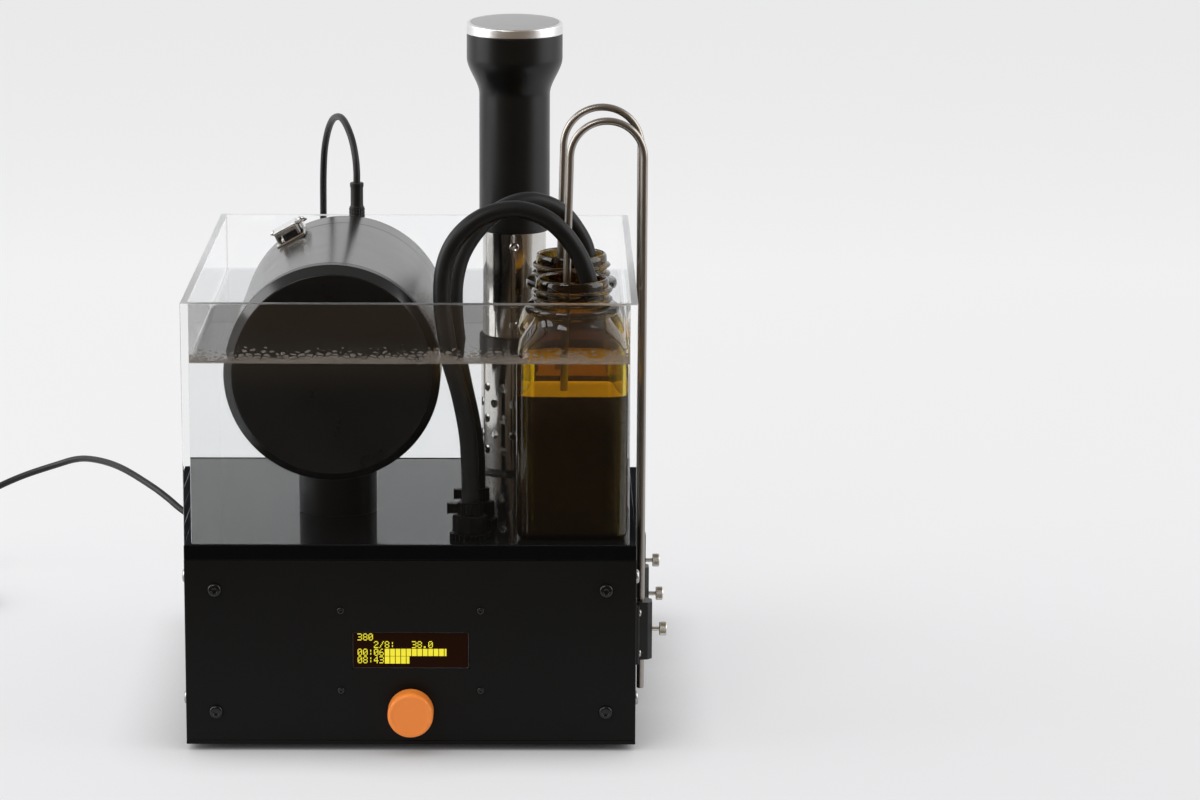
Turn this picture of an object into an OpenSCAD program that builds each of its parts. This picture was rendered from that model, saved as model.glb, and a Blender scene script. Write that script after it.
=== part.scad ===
// Automatic film processor: a clear water bath on a black control base, with a film drum,
// two chemical bottles, transfer hoses, height-set dip tubes and an immersion circulator.
// Drawn in millimetres, +Z up, standing on Z = 0.

/* [Tank] */
// Width of the tank and of the base below it
tank_w = 300; // [290:1:340]
// Depth of the tank and of the base below it
tank_d = 350; // [345:1:400]
// Height of the clear walls above the tank floor
wall_h = 163; // [150:1:190]
// Thickness of the clear walls
wall_t = 5; // [4:0.5:6]
// Thickness of the black tank floor
floor_t = 10; // [8:0.5:14]

/* [Base box] */
// Height of the base box from the bottom plate to the tank floor
base_h = 127; // [122:1:150]
// Thickness of the front, rear and side panels
panel_t = 3; // [2:0.5:4]
// Thickness of the bottom plate
bottom_t = 3; // [2:0.5:5]
// Side of a square corner post
post_w = 24; // [22:1:30]
// Diameter of a rubber foot
foot_d = 16; // [12:1:24]
// Height of a rubber foot
foot_h = 4; // [3:0.5:8]
// Distance of a foot's centre from the sides and ends
foot_inset = 32; // [20:1:45]

/* [Panel screws] */
// Distance of the front and rear screws from the sides
screw_inset = 20; // [18:0.5:24]
// Height of the lower front screws above the bottom plate's underside
screw_low_z = 22.5; // [18:0.5:30]
// Height between the lower and upper front screws
screw_rise = 84; // [76:0.5:86]
// How much higher the side screws sit than the front screws
side_screw_lift = 6; // [5.5:0.5:8]
// Distance of the side screws from the ends
side_screw_inset = 15; // [12:0.5:20]
// Shank radius of the panel screws
screw_r = 2; // [1.5:0.25:2.5]
// Head radius of the panel screws
screw_head_r = 4.8; // [4:0.1:6]
// Head height of the panel screws
screw_head_h = 2.2; // [1.5:0.1:3]
// Length of the panel screws under the head
screw_l = 14; // [10:1:18]

/* [Display] */
// Width of the display window
window_w = 78; // [70:1:84]
// Height of the display window
window_h = 25.5; // [20:0.5:30]
// Height of the window's centre above the bottom plate's underside
window_z = 65; // [60:0.5:72]
// Width of the display's circuit board
display_w = 98; // [97:1:110]
// Height of the display's circuit board
display_h = 60; // [60:1:66]
// Thickness of the display's frame
display_t = 8; // [5:0.5:10]
// Spacing of the display's screws along its width
display_screw_w = 93; // [91:0.5:93]
// Spacing of the display's screws along its height
display_screw_h = 55; // [52:0.5:55]

/* [Control knob] */
// Diameter of the control knob
knob_d = 30.5; // [24:0.5:36]
// Depth of the control knob
knob_l = 14; // [12:0.5:20]
// Height of the knob's axis above the bottom plate's underside
knob_z = 24; // [21:0.5:28]
// Rounding of the knob's front edge
knob_round = 2.5; // [1:0.25:4]
// Travel of the knob when it is pressed
press_travel = 1; // [0.5:0.1:1.4]
// Radius of the encoder shaft
shaft_r = 3; // [2.5:0.1:3.2]

/* [Tube clamps] */
// Distance of the first clamp from the front
clamp_y = 55; // [52:0.5:65]
// Spacing of the clamps along the side, and of the bottles beside them
clamp_pitch = 93; // [86:0.5:95]
// Height of the clamps' centre above the bottom plate's underside
clamp_z = 65.5; // [55:0.5:80]
// Height of a clamp block
clamp_h = 40; // [34:1:48]
// Width of a clamp block along the side
clamp_w = 14; // [12:0.5:20]
// Thickness of a clamp block
clamp_t = 12; // [11:0.5:16]
// Chamfer on a clamp block's outer edges
clamp_chamfer = 3; // [1:0.5:4]
// Radius of a thumbscrew's head
thumb_r = 4.7; // [3.5:0.1:7]
// Thickness of a thumbscrew's head
thumb_t = 5; // [3:0.5:8]
// Bare length of a thumbscrew between block and head
thumb_gap = 5; // [2:0.5:8]

/* [Dip tubes] */
// Outer radius of a dip tube
tube_r = 2.5; // [2:0.1:3]
// Bore radius of a dip tube
tube_bore_r = 1.7; // [1:0.1:1.8]
// Distance of the outer leg's axis from the tank wall
tube_off = 4.3; // [4:0.1:5]
// Distance between the legs of the front tube
front_span = 49; // [44:0.5:54]
// Distance between the legs of the rear tube
rear_span = 53; // [48:0.5:58]
// Height of the front tube's bend above the standing surface
front_apex_z = 417; // [380:1:440]
// Height of the rear tube's bend above the standing surface
rear_apex_z = 413; // [380:1:440]
// Height of the front tube's outer end above the standing surface
tube_end_z = 28; // [20:1:45]
// Height of the rear tube's outer end above the standing surface
rear_tube_end_z = 24; // [20:1:45]
// Angle by which the inner legs lean away from the outer ones
leg_lean = 1.4; // [0:0.1:2]

/* [Bottles] */
// Width of a square bottle
bottle_w = 74; // [68:0.5:78]
// Height of a bottle
bottle_h = 171; // [165:1:185]
// Rounding of a bottle's upright corners
bottle_round = 11; // [8:0.5:16]
// Height of a bottle's straight body
bottle_body_h = 118; // [100:1:120]
// Radius of a bottle's neck
neck_r = 24.5; // [24:0.1:26]
// Bore radius of a bottle's mouth
mouth_r = 21.3; // [20.5:0.1:21.5]
// Thickness of the bottle glass
glass_t = 3; // [2:0.25:4]
// Clearance between a bottle and the side wall
bottle_gap = 1; // [0.5:0.5:6]

/* [Film drum] */
// Outer radius of the drum
drum_r = 72; // [68:0.5:73]
// Length of the drum with both caps
drum_l = 200; // [190:1:210]
// Thickness of the drum wall
drum_t = 4; // [3:0.5:6]
// Distance of the drum from the front of the tank
drum_y = 35; // [25:1:45]
// Distance of the drum from the left wall
drum_gap = 20.5; // [12:0.5:22]
// Height of the drum's underside above the tank floor
drum_lift = 37.5; // [32:0.5:50]
// Thickness of the front cap
front_cap_t = 14; // [12:1:20]
// Chamfer of the front cap
cap_chamfer = 6; // [3:0.5:8]
// Thickness of the rear cap
rear_cap_t = 30; // [28:1:32]
// Radius of the pedestal under the drum
pedestal_r = 26.5; // [20:0.5:32]
// Radius of the drum motor's housing
motor_r = 52; // [44:1:58]
// Length of the drum motor's housing
motor_l = 40; // [34:1:46]
// Radius of the reel spindle
spindle_r = 5; // [4:0.5:6]
// Radius of a film reel
reel_r = 50; // [46:0.5:60]
// Distance between the flanges of a film reel
reel_gap = 36; // [34:0.5:40]
// Angle of the latch from the drum's top
latch_angle = -29; // [-50:1:-15]

/* [Circulator] */
// Distance of the circulator from the tank's middle
circ_x = 66.5; // [60:0.5:90]
// Clearance between the circulator's body and the rear wall
circ_gap = 17.5; // [15:0.5:24]
// Height of the circulator's top above the standing surface
circ_top_z = 457; // [430:0.1:480]
// Radius of the circulator's head
head_r = 34.5; // [32:0.5:38]
// Radius of the circulator's black body
body_r = 25.5; // [25:0.25:28]
// Radius of the circulator's steel sleeve
sleeve_r = 23; // [20:0.25:23.5]
// Wall of the circulator's steel sleeve
sleeve_t = 0.8; // [0.6:0.1:1.2]
// Radius of the holes in the sleeve
sleeve_hole_r = 3.2; // [2.5:0.1:3.6]

/* [Hoses and leads] */
// Radius of the transfer hoses
hose_r = 6; // [5:0.25:6.5]
// Distance of the hose fittings from the tank's middle
fitting_x = 39.5; // [39.5:0.5:40]
// Distance of the front hose fitting from the front of the tank
fitting_front_y = 30; // [30:0.5:30.5]
// Spacing of the two hose fittings
fitting_pitch = 55; // [55:0.5:55.5]
// Radius of the motor cable and of the power lead
lead_r = 2.5; // [2.25:0.05:2.6]
// Reach of the rear hose stubs behind the base
stub_l = 22; // [22:0.5:30]
// Outer radius of the rear hose stubs
stub_r = 4; // [3:0.5:5]

/* [Hidden] */
$fn = 64;

// Clearances: running fits, seated fits and free gaps
run_fit = 0.05;
seat_fit = 0.05;
free_gap = 0.3;

// Heights of the main levels
plate_z = foot_h + bottom_t;
slab_z = foot_h + base_h;
bath_z = slab_z + floor_t;
rim_z = bath_z + wall_h;
half_w = tank_w / 2;
panel_x = half_w - panel_t;
panel_y = tank_d - panel_t;

// Screw places
screw_x = half_w - screw_inset;
screw_zs = [foot_h + screw_low_z, foot_h + screw_low_z + screw_rise];
socket_r = screw_head_r * 0.45;

// Display and knob places
display_z = foot_h + window_z;
display_back = panel_t + display_t;
display_board_t = 1.6;
display_frame_h = 40;
small_r = 1.5;
small_head_r = 2.6;
small_head_h = 1.4;
knob_axis_z = foot_h + knob_z;
bush_r = shaft_r + 1;
bush_l = 4;
encoder_w = 14;
encoder_l = 10;
encoder_wall = 1.5;
plunger_w = encoder_w - 2 * encoder_wall - 2 * seat_fit;
plunger_l = 5;
plunger_y = panel_t + encoder_wall + 2 * seat_fit;
tail_r = shaft_r - 1;
clip_t = 0.7;
knob_back = -(press_travel + 0.5);
knob_front = knob_back - knob_l;
knob_wall = 3;

// Clamp places, and the bottles that line up with them
clamp_ys = [clamp_y, clamp_y + clamp_pitch, clamp_y + 2 * clamp_pitch];
clamp_mid_z = foot_h + clamp_z;
flange_t = 3;
flange_w = 9;
clamp_screw_rise = 28;
clamp_screw_l = 8;
tube_x = half_w + tube_off;
thumb_screw_r = 1.5;
block_out = half_w + clamp_t;
thumb_in = block_out + thumb_gap;
thumb_out = thumb_in + thumb_t;
bottle_x = half_w - wall_t - bottle_gap - bottle_w / 2;
tube_leg_z = bath_z + 18;
shoulder_r = 22;
collar_r = neck_r + 7;
collar_z = bottle_h - 24;
collar_h = 6.5;
thread_r = neck_r + 2.2;
thread_h = 3;

// Drum places
drum_x = -(half_w - wall_t - drum_gap - drum_r);
drum_z = bath_z + drum_lift + drum_r;
drum_back = drum_y + drum_l;
seam_y = drum_back - rear_cap_t;
shell_y = drum_y + front_cap_t;
shell_r = drum_r - drum_t;
spigot_l = 6;
pedestal_y = drum_y + drum_l / 2;
port_r = 4;
port_wall = 3;
spindle_front = shell_y - 5;
spindle_back = drum_back + 15;
reel_core_r = 12;
reel_flange_t = 2.4;
reel_apart = 3;
reel_end_gap = 4;
reel_pitch = reel_gap + 2 * reel_flange_t + reel_apart;
reel_first_y = shell_y + spigot_l + reel_end_gap;
reel_room = seam_y - spigot_l - reel_end_gap - reel_first_y;
// As many reels as the drum's length has room for
reel_count = floor((reel_room + reel_apart) / reel_pitch);
plug_x = drum_x + 7;
plug_y = drum_back + motor_l / 2;
motor_side = plug_x - drum_x;
socket_z = drum_z + sqrt(pow(motor_r, 2) - pow(motor_side + 6, 2));
socket_rise = 63.5;
cable_plug_l = 29;
plug_seat_z = drum_z + socket_rise;
plug_top_z = plug_seat_z + cable_plug_l;
motor_edge = 4;
socket_post_r = 5;
plug_nut_h = 11.5;

// Latch sizes in its own frame: X across, Y to the rear, Z away from the drum
latch_y = seam_y - 6;
latch_half = 11;
ear_t = 1.5;
pivot_z = 8.2;
pivot_r = 1.2;
bail_y = -4.5;
bail_z = pivot_z + 1.5;
bail_r = 1;
bail_bar_y = 13.6;
bail_bar_z = pivot_z - 3;
lever_half = 8.5;
cheek_t = 1.5;
lever_l = 23;
lever_t = 1.6;
lever_z = pivot_z + 1.6;
latch_foot_t = 2;
catch_y = bail_bar_y - bail_r - 0.2;
catch_t = 1.8;

// Pump, set below the drum's pedestal
pump_x = drum_x;
pump_r = 28;
pump_z = plate_z + 8 + pump_r;
pump_l = 24;
pump_wall = 3.5;
pump_y = pedestal_y - pump_l / 2;
pump_back = pump_y + pump_l;
pump_shaft_r = 3;
pump_can_r = 18;
pump_can_l = 52;
pump_flange_t = 4;
pump_seat_l = 20;
pump_hub_r = 8;
blade_in = 6;
blade_count = 6;
blade_t = 2.4;
outlet_z = slab_z - 6;

// Controller board and valve block on the bottom plate
board_w = 100;
board_d = 70;
board_t = 1.6;
chip_w = 22;
chip_h = 3;
strip_h = 12;
relay_l = 18;
relay_w = 14;
relay_h = 15;
relay_pitch = 18;
tall_r = 6;
tall_h = 18;
board_x = 10;
board_y = 36;
post_h = 8;
post_r = 3;
valve_count = 3;
valve_pitch = 34;
valve_w = 26;
manifold_w = valve_count * valve_pitch + 6;
manifold_d = 30;
manifold_h = 24;
manifold_x = 10;
manifold_y = 215;
coil_h = 34;

// Rear connections
gland_x = -80;
gland_z = 92;
gland_r = 6;
gland_l = 18;
stub_xs = [60, 95];
stub_z = foot_h + 44;
stub_bore_r = 2.5;
inlet_x = -105;
inlet_z = 62;
inlet_w = 28;
inlet_h = 20;
inlet_l = 18;
inlet_flange = 4;
inlet_flange_t = 2;
nose_w = 21.6;
nose_h = 13.6;
nose_l = 11.5;
socket_body_w = 24;
socket_body_h = 18;
socket_body_l = 28;
relief_l = 30;
relief_y = tank_d + 21;

// Circulator levels
circ_y = tank_d - wall_t - circ_gap - body_r;
ring_h = 7;
ring_edge = 1.5;
dome_h = 6;
dome_r = head_r - 2;
dome_steps = [1, 0.85, 0.65, 0.4, 0.15];
head_z = circ_top_z - ring_h - dome_h;
taper_z = head_z - 17;
body_top_z = taper_z - 26.5;
taper_steps = [[0, 0], [0.19, 0.1], [0.41, 0.36], [0.63, 0.67], [0.82, 0.88], [1, 1]];
body_cut_l = 100;
body_z = rim_z - 2.5;
sleeve_z = bath_z + 2;
sleeve_top_z = body_z + 10;
hole_rows = 5;
hole_pitch = 11.3;
hole_count = 10;
hole_z = sleeve_z + 15;
circ_shaft_r = 2.5;
vane_r = 14;
vane_z = sleeve_z + 14;
vane_h = 10;
heater_r = 2.5;
heater_off = 17.5;
clip_half = 12;
jaw_out = tank_d + 3;
jaw_t = 6;
clip_low_z = rim_z - 22;
clip_top_z = rim_z + 10;
clip_screw_r = 3;
clip_screw_z = rim_z - 12;
clip_knob_r = 9;

// Hose fittings in the tank floor
fitting_ys = [fitting_front_y, fitting_front_y + fitting_pitch];
fitting_xs = [fitting_x, fitting_x + 3.5];
fitting_flange_r = 14;
fitting_flange_h = 4;
fitting_nut_r = 12;
fitting_nut_h = 12;
fitting_top_z = bath_z + fitting_flange_h + fitting_nut_h;
fitting_bore_r = 3;
fitting_stub_r = 5;
clamp_ring_h = 9;
clamp_ring_t = 2.6;
clamp_teeth = 12;

// Routes of the hoses, the cable and the lead, from end to end
front_hose_route = [
  [39.5, 30, 157], [39.5, 30, 174], [39, 30, 192], [37.5, 30, 213], [32.5, 31, 239],
  [26, 32.5, 262], [22.5, 34, 282], [20.5, 35.5, 302], [22, 37, 321.5], [28, 38.5, 337.2],
  [39, 40, 349.5], [53, 41.5, 357.3], [70, 43, 359.7], [86, 44, 355.3], [98, 45, 346.6],
  [108, 46, 334], [114.5, 47, 321], [118, 47.5, 309], [119.3, 48.5, 298], [119.5, 48.5, 288]
];
rear_hose_route = [
  [43, 85, 157], [43, 85, 174], [42.5, 85, 190], [39.5, 86, 212], [34, 87, 238],
  [29.5, 89, 262], [27.5, 92, 283.5], [28, 96, 302], [33, 101, 320], [44, 108, 336],
  [59, 117, 347.3], [76, 126, 351.9], [90, 133, 348.2], [102, 138, 340.2], [110.5, 140.5, 329],
  [116, 141, 318.6], [118, 141, 309], [119.3, 141.5, 298], [119.5, 141.5, 288]
];
motor_cable_route = [
  [-45.5, 255, 343], [-45.5, 255.5, 351], [-46.5, 258, 361], [-49, 265, 371.5],
  [-53, 277, 379.5], [-57.5, 292, 383.5], [-62, 307, 382.5], [-66.5, 323, 377],
  [-70.5, 338, 366], [-73.5, 351, 350.5], [-75, 361, 330], [-75.5, 367, 309],
  [-76, 373, 285], [-77, 380, 255], [-78, 386, 222], [-79, 391, 190], [-80, 394.5, 160],
  [-80, 396, 138], [-80, 395, 121], [-80, 391, 107], [-80, 383, 97], [-80, 374, 92.3],
  [-80, 368, 92]
];
power_lead_route = [
  [-147, 371, 62], [-158, 371.5, 62.5], [-170, 375.5, 65], [-184.5, 385, 70],
  [-197, 396.5, 77], [-209.5, 410, 82.5], [-232, 440, 88], [-249, 465, 88.5],
  [-266, 487, 86.5], [-279, 500, 83], [-294, 508, 77], [-319, 511, 68], [-339, 507, 60],
  [-356, 500, 52], [-372, 490, 43], [-386, 476, 33], [-397, 459, 23.5], [-405, 441, 15],
  [-410, 423, 8.5], [-412.5, 406, 4.5], [-413.5, 391, 2.8], [-413.5, 377, 2.5]
];

// Coil of the lead's spare length: in on the lower layer, out again on the upper one
coil_x = -375;
coil_y = 372;
coil_out_r = 38.5;
coil_step = 5.6;
coil_rise = 5.5;
turns_in = 3;
turns_out = 3.5;
rings_per_turn = 24;
coil_in_r = coil_out_r - turns_in * coil_step;
coil_turns = turns_in + 0.5 + turns_out;
coil_end_r = coil_in_r + turns_out * coil_step;
plug_t = 16;
plug_w = 34;
plug_l = 36;
plug_relief_l = 30;
pin_r = 2;
pin_l = 19;
pin_gap = 19;

// The origin stands under the middle of the object's box, leaving the free leads out
left_reach = half_w + screw_head_h;
frame_x = (thumb_out - left_reach) / 2;
frame_y = (tank_d + stub_l + knob_front) / 2;

module in_frame() {
  translate([-frame_x, -frame_y, 0]) children();
}

module block(lo, hi) {
  translate(lo) cube(hi - lo);
}

module rod_x(r, x0, x1) {
  translate([x0, 0, 0]) rotate([0, 90, 0]) cylinder(r = r, h = x1 - x0);
}

module rod_y(r, y0, y1) {
  translate([0, y0, 0]) rotate([-90, 0, 0]) cylinder(r = r, h = y1 - y0);
}

module cone_y(r0, r1, y0, y1) {
  translate([0, y0, 0]) rotate([-90, 0, 0]) cylinder(r1 = r0, r2 = r1, h = y1 - y0);
}

// Round-cornered square of width w, flat on the XY plane
module soft_square(w, r) {
  square([w, w - 2 * r], center = true);
  square([w - 2 * r, w], center = true);
  for (sx = [-1, 1], sy = [-1, 1]) translate([sx, sy] * (w / 2 - r)) circle(r);
}

// Socket screw along Z: the head stands on Z = 0, the shank goes below it
module socket_screw(head_radius, head_height, shank_radius, shank_length) {
  difference() {
    union() {
      cylinder(r1 = head_radius, r2 = head_radius * 0.72, h = head_height);
      translate([0, 0, -shank_length]) cylinder(r = shank_radius, h = shank_length + head_height / 4);
    }
    translate([0, 0, head_height * 0.45])
      cylinder(r = head_radius * 0.45, h = head_height, $fn = 6);
  }
}

module at_front_screws() {
  for (sx = [-1, 1], z = screw_zs) translate([sx * screw_x, 0, z]) rotate([90, 0, 0]) children();
}

module at_rear_screws() {
  for (sx = [-1, 1], z = screw_zs) translate([sx * screw_x, tank_d, z]) rotate([-90, 0, 0]) children();
}

module at_side_screws() {
  for (sx = [-1, 1], y = [side_screw_inset, tank_d - side_screw_inset], z = screw_zs)
    translate([sx * half_w, y, z + side_screw_lift]) rotate([0, sx * 90, 0]) children();
}

module at_display_screws() {
  for (sx = [-1, 1], sz = [-1, 1])
    translate([sx * display_screw_w / 2, 0, display_z + sz * display_screw_h / 2])
      rotate([90, 0, 0]) children();
}

module at_clamp_screws() {
  for (y = clamp_ys, sz = [-1, 1])
    translate([half_w + flange_t, y - clamp_w / 2 - flange_w / 2, clamp_mid_z + sz * clamp_screw_rise / 2])
      rotate([0, 90, 0]) children();
}

module at_fittings() {
  for (i = [0, 1]) translate([fitting_xs[i], fitting_ys[i], 0]) children();
}

module on_drum_axis() {
  translate([drum_x, 0, drum_z]) children();
}

module on_pump_axis() {
  translate([pump_x, 0, pump_z]) children();
}

module on_circulator() {
  translate([circ_x, circ_y, 0]) children();
}

module on_latch() {
  translate([drum_x, latch_y, drum_z]) rotate([0, latch_angle, 0]) translate([0, 0, drum_r]) children();
}

// Unit direction of a route at point i
function along(route, i) =
  let (last = len(route) - 1)
  let (d = route[min(i + 1, last)] - route[max(i - 1, 0)])
  d / norm(d);

// Sideways direction carried along the route without twisting
function carried(route, i = 0, side = [0, 0, 0], list = []) =
  i == len(route) ? list :
  let (t = along(route, i))
  let (start = abs(t[2]) > 0.9 ? [1, 0, 0] : [0, 0, 1])
  let (raw = i == 0 ? start : side)
  let (flat = raw - (raw * t) * t)
  let (s = flat / norm(flat))
  carried(route, i + 1, s, concat(list, [s]));

// Closed tube of round section swept along a route
module route_tube(route, r, sides) {
  side = carried(route);
  rings = len(route);
  points = [
    for (i = [0:rings - 1], k = [0:sides - 1])
      let (t = along(route, i), a = 360 * k / sides)
      route[i] + r * (cos(a) * side[i] + sin(a) * cross(t, side[i]))
  ];
  walls = [
    for (i = [0:rings - 2], k = [0:sides - 1])
      let (a = i * sides + k, b = i * sides + (k + 1) % sides)
      each [[a, a + sides, b], [b, a + sides, b + sides]]
  ];
  first = [for (k = [1:sides - 2]) [0, k, k + 1]];
  end = (rings - 1) * sides;
  final = [for (k = [1:sides - 2]) [end, end + k + 1, end + k]];
  polyhedron(points, concat(walls, first, final));
}

// Radius and height of the coil after a number of turns
function coil_r(turn) =
  turn < turns_in ? coil_out_r - coil_step * turn :
  turn < turns_in + 0.25 ? coil_out_r - coil_step * turn :
  turn < turns_in + 0.5 ? coil_in_r - coil_step * (turns_in + 0.5 - turn) :
  coil_in_r + coil_step * (turn - turns_in - 0.5);

function coil_z(turn) =
  let (climb = min(max((turn - turns_in) / 0.5, 0), 1))
  lead_r + coil_rise * climb * climb * (3 - 2 * climb);

function coil_point(turn) =
  [coil_x + coil_r(turn) * cos(180 + 360 * turn),
   coil_y + coil_r(turn) * sin(180 + 360 * turn),
   coil_z(turn)];

coil_steps = coil_turns * rings_per_turn;
coil_loops = [for (i = [0:coil_steps]) coil_point(i / rings_per_turn)];
coil_start = coil_loops[0] + [0, 2 * lead_r, 0];
coil_end = coil_loops[coil_steps] - [0, 2 * lead_r, 0];
coil_route = concat([coil_start], coil_loops, [coil_end]);
coil_gap = min([
  for (i = [0:coil_steps], j = [i + 12:1:coil_steps])
    norm(coil_loops[i] - coil_loops[j]) - 2 * lead_r
]);
echo(least_gap_in_coil = coil_gap);

module bottom_plate() color([0.09, 0.09, 0.09]) in_frame() {
  difference() {
    block([-half_w, 0, foot_h], [half_w, tank_d, plate_z]);
    for (sx = [-1, 1], y = [foot_inset, tank_d - foot_inset])
      translate([sx * (half_w - foot_inset), y, 0]) cylinder(r = screw_r, h = plate_z + 1);
  }
  for (x = [5, board_w - 5], y = [5, board_d - 5])
    translate([board_x + x, board_y + y, plate_z - 1]) cylinder(r = post_r, h = post_h + 1);
}

module front_panel() color([0.09, 0.09, 0.09]) in_frame() difference() {
  block([-half_w, 0, plate_z], [half_w, panel_t, slab_z]);
  block([-window_w / 2, -1, display_z - window_h / 2], [window_w / 2, panel_t + 1, display_z + window_h / 2]);
  at_front_screws() cylinder(r = screw_r + seat_fit, h = 4 * panel_t, center = true);
  at_display_screws() cylinder(r = small_r + seat_fit, h = 4 * panel_t, center = true);
  translate([0, 0, knob_axis_z]) rod_y(bush_r + seat_fit, -1, panel_t + 1);
}

module rear_panel() color([0.09, 0.09, 0.09]) in_frame() difference() {
  block([-half_w, panel_y, plate_z], [half_w, tank_d, slab_z]);
  at_rear_screws() cylinder(r = screw_r + seat_fit, h = 4 * panel_t, center = true);
  translate([gland_x, 0, gland_z]) rod_y(gland_r + seat_fit, panel_y - 1, tank_d + 1);
  for (x = stub_xs) translate([x, 0, stub_z]) rod_y(stub_r + 1 + seat_fit, panel_y - 1, tank_d + 1);
  block([inlet_x - inlet_w / 2 - seat_fit, panel_y - 1, inlet_z - inlet_h / 2 - seat_fit],
        [inlet_x + inlet_w / 2 + seat_fit, tank_d + 1, inlet_z + inlet_h / 2 + seat_fit]);
}

module side_panels() color([0.09, 0.09, 0.09]) in_frame() difference() {
  for (sx = [-1, 1]) translate([sx * (half_w - panel_t / 2), 0, 0])
    block([-panel_t / 2, panel_t, plate_z], [panel_t / 2, panel_y, slab_z]);
  at_side_screws() cylinder(r = screw_r + seat_fit, h = 4 * panel_t, center = true);
  at_clamp_screws() cylinder(r = small_r + seat_fit, h = 4 * panel_t, center = true);
}

module corner_posts() color([0.16, 0.16, 0.16]) in_frame() difference() {
  for (sx = [-1, 1], sy = [-1, 1])
    translate([sx * (panel_x - post_w / 2), tank_d / 2 + sy * (tank_d / 2 - panel_t - post_w / 2), 0])
      block([-post_w / 2, -post_w / 2, plate_z], [post_w / 2, post_w / 2, slab_z]);
  at_front_screws() translate([0, 0, -screw_l - 1]) cylinder(r = screw_r + seat_fit, h = screw_l);
  at_rear_screws() translate([0, 0, -screw_l - 1]) cylinder(r = screw_r + seat_fit, h = screw_l);
  at_side_screws() translate([0, 0, -screw_l - 1]) cylinder(r = screw_r + seat_fit, h = screw_l);
}

module feet() color([0.04, 0.04, 0.04]) in_frame()
  for (sx = [-1, 1], y = [foot_inset, tank_d - foot_inset])
    translate([sx * (half_w - foot_inset), y, 0]) {
      cylinder(r1 = foot_d / 2 - 1, r2 = foot_d / 2, h = foot_h);
      cylinder(r = screw_r - seat_fit, h = plate_z + 2);
    }

module panel_screws() color([0.05, 0.05, 0.05]) in_frame() {
  at_front_screws() socket_screw(screw_head_r, screw_head_h, screw_r, screw_l);
  at_rear_screws() socket_screw(screw_head_r, screw_head_h, screw_r, screw_l);
}

module side_screws() color([0.6, 0.6, 0.6]) in_frame()
  at_side_screws() socket_screw(screw_head_r, screw_head_h, screw_r, screw_l);

module small_screws() color([0.5, 0.5, 0.5]) in_frame() {
  at_display_screws() socket_screw(small_head_r, small_head_h, small_r, display_back + display_board_t + 1);
  at_clamp_screws() socket_screw(small_head_r, small_head_h, small_r, clamp_screw_l);
}

module display_module() color([0.08, 0.1, 0.08]) in_frame() difference() {
  union() {
    block([-display_w / 2, display_back, display_z - display_h / 2],
          [display_w / 2, display_back + display_board_t, display_z + display_h / 2]);
    block([-display_w / 2 + 1, panel_t, display_z - display_frame_h / 2],
          [display_w / 2 - 1, display_back + 0.5, display_z + display_frame_h / 2]);
    at_display_screws() translate([0, 0, -display_back - 0.5])
      cylinder(r = small_r + 0.9, h = display_t + 0.5);
  }
  at_display_screws() cylinder(r = small_r + seat_fit, h = 60, center = true);
}

module encoder_body() color([0.35, 0.35, 0.33]) in_frame() translate([0, 0, knob_axis_z]) difference() {
  union() {
    rod_y(bush_r, -bush_l, panel_t + 1);
    block([-encoder_w / 2, panel_t, -encoder_w / 2], [encoder_w / 2, panel_t + encoder_l, encoder_w / 2]);
  }
  rod_y(shaft_r + run_fit, -bush_l - 1, panel_t + encoder_wall + 1);
  block([-encoder_w / 2 + encoder_wall, panel_t + encoder_wall, -encoder_w / 2 + encoder_wall],
        [encoder_w / 2 - encoder_wall, panel_t + encoder_l + 1, encoder_w / 2 - encoder_wall]);
}

module encoder_plunger() color([0.8, 0.8, 0.75]) in_frame() translate([0, 0, knob_axis_z]) difference() {
  block([-plunger_w / 2, plunger_y, -plunger_w / 2], [plunger_w / 2, plunger_y + plunger_l, plunger_w / 2]);
  rod_y(tail_r + run_fit, plunger_y - 1, plunger_y + plunger_l + 1);
}

module encoder_shaft() color([0.7, 0.7, 0.7]) in_frame() translate([0, 0, knob_axis_z]) {
  rod_y(shaft_r, knob_front + knob_wall, plunger_y - seat_fit);
  rod_y(tail_r, plunger_y - 1, plunger_y + plunger_l + 1);
  rod_y(shaft_r, plunger_y + plunger_l + seat_fit, plunger_y + plunger_l + seat_fit + clip_t);
}

module control_knob() color([0.93, 0.5, 0.2]) in_frame() translate([0, knob_back, knob_axis_z])
  rotate([90, 0, 0]) difference() {
    rotate_extrude() {
      square([knob_d / 2 - knob_round, knob_l]);
      square([knob_d / 2, knob_l - knob_round]);
      translate([knob_d / 2 - knob_round, knob_l - knob_round]) intersection() {
        circle(knob_round);
        square(knob_round);
      }
    }
    translate([0, 0, -1]) cylinder(r = shaft_r + seat_fit, h = knob_l - knob_wall + 1);
    translate([0, 0, -1]) cylinder(r = bush_r + 1, h = bush_l + 2);
  }

module controller_board() color([0.05, 0.2, 0.1]) in_frame()
  translate([board_x, board_y, plate_z + post_h]) {
    cube([board_w, board_d, board_t]);
    translate([0.35 * board_w, 0.36 * board_d, board_t]) cube([chip_w, chip_w, chip_h]);
    translate([0.08 * board_w, 0.83 * board_d, board_t]) cube([0.6 * board_w, 0.13 * board_d, strip_h]);
    for (i = [0:2]) translate([0.75 * board_w, relay_pitch * (i + 0.55), board_t])
      cube([relay_l, relay_w, relay_h]);
    for (i = [0:1]) translate([0.18 * board_w, relay_pitch * (i + 0.83), board_t])
      cylinder(r = tall_r, h = tall_h);
  }

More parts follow.
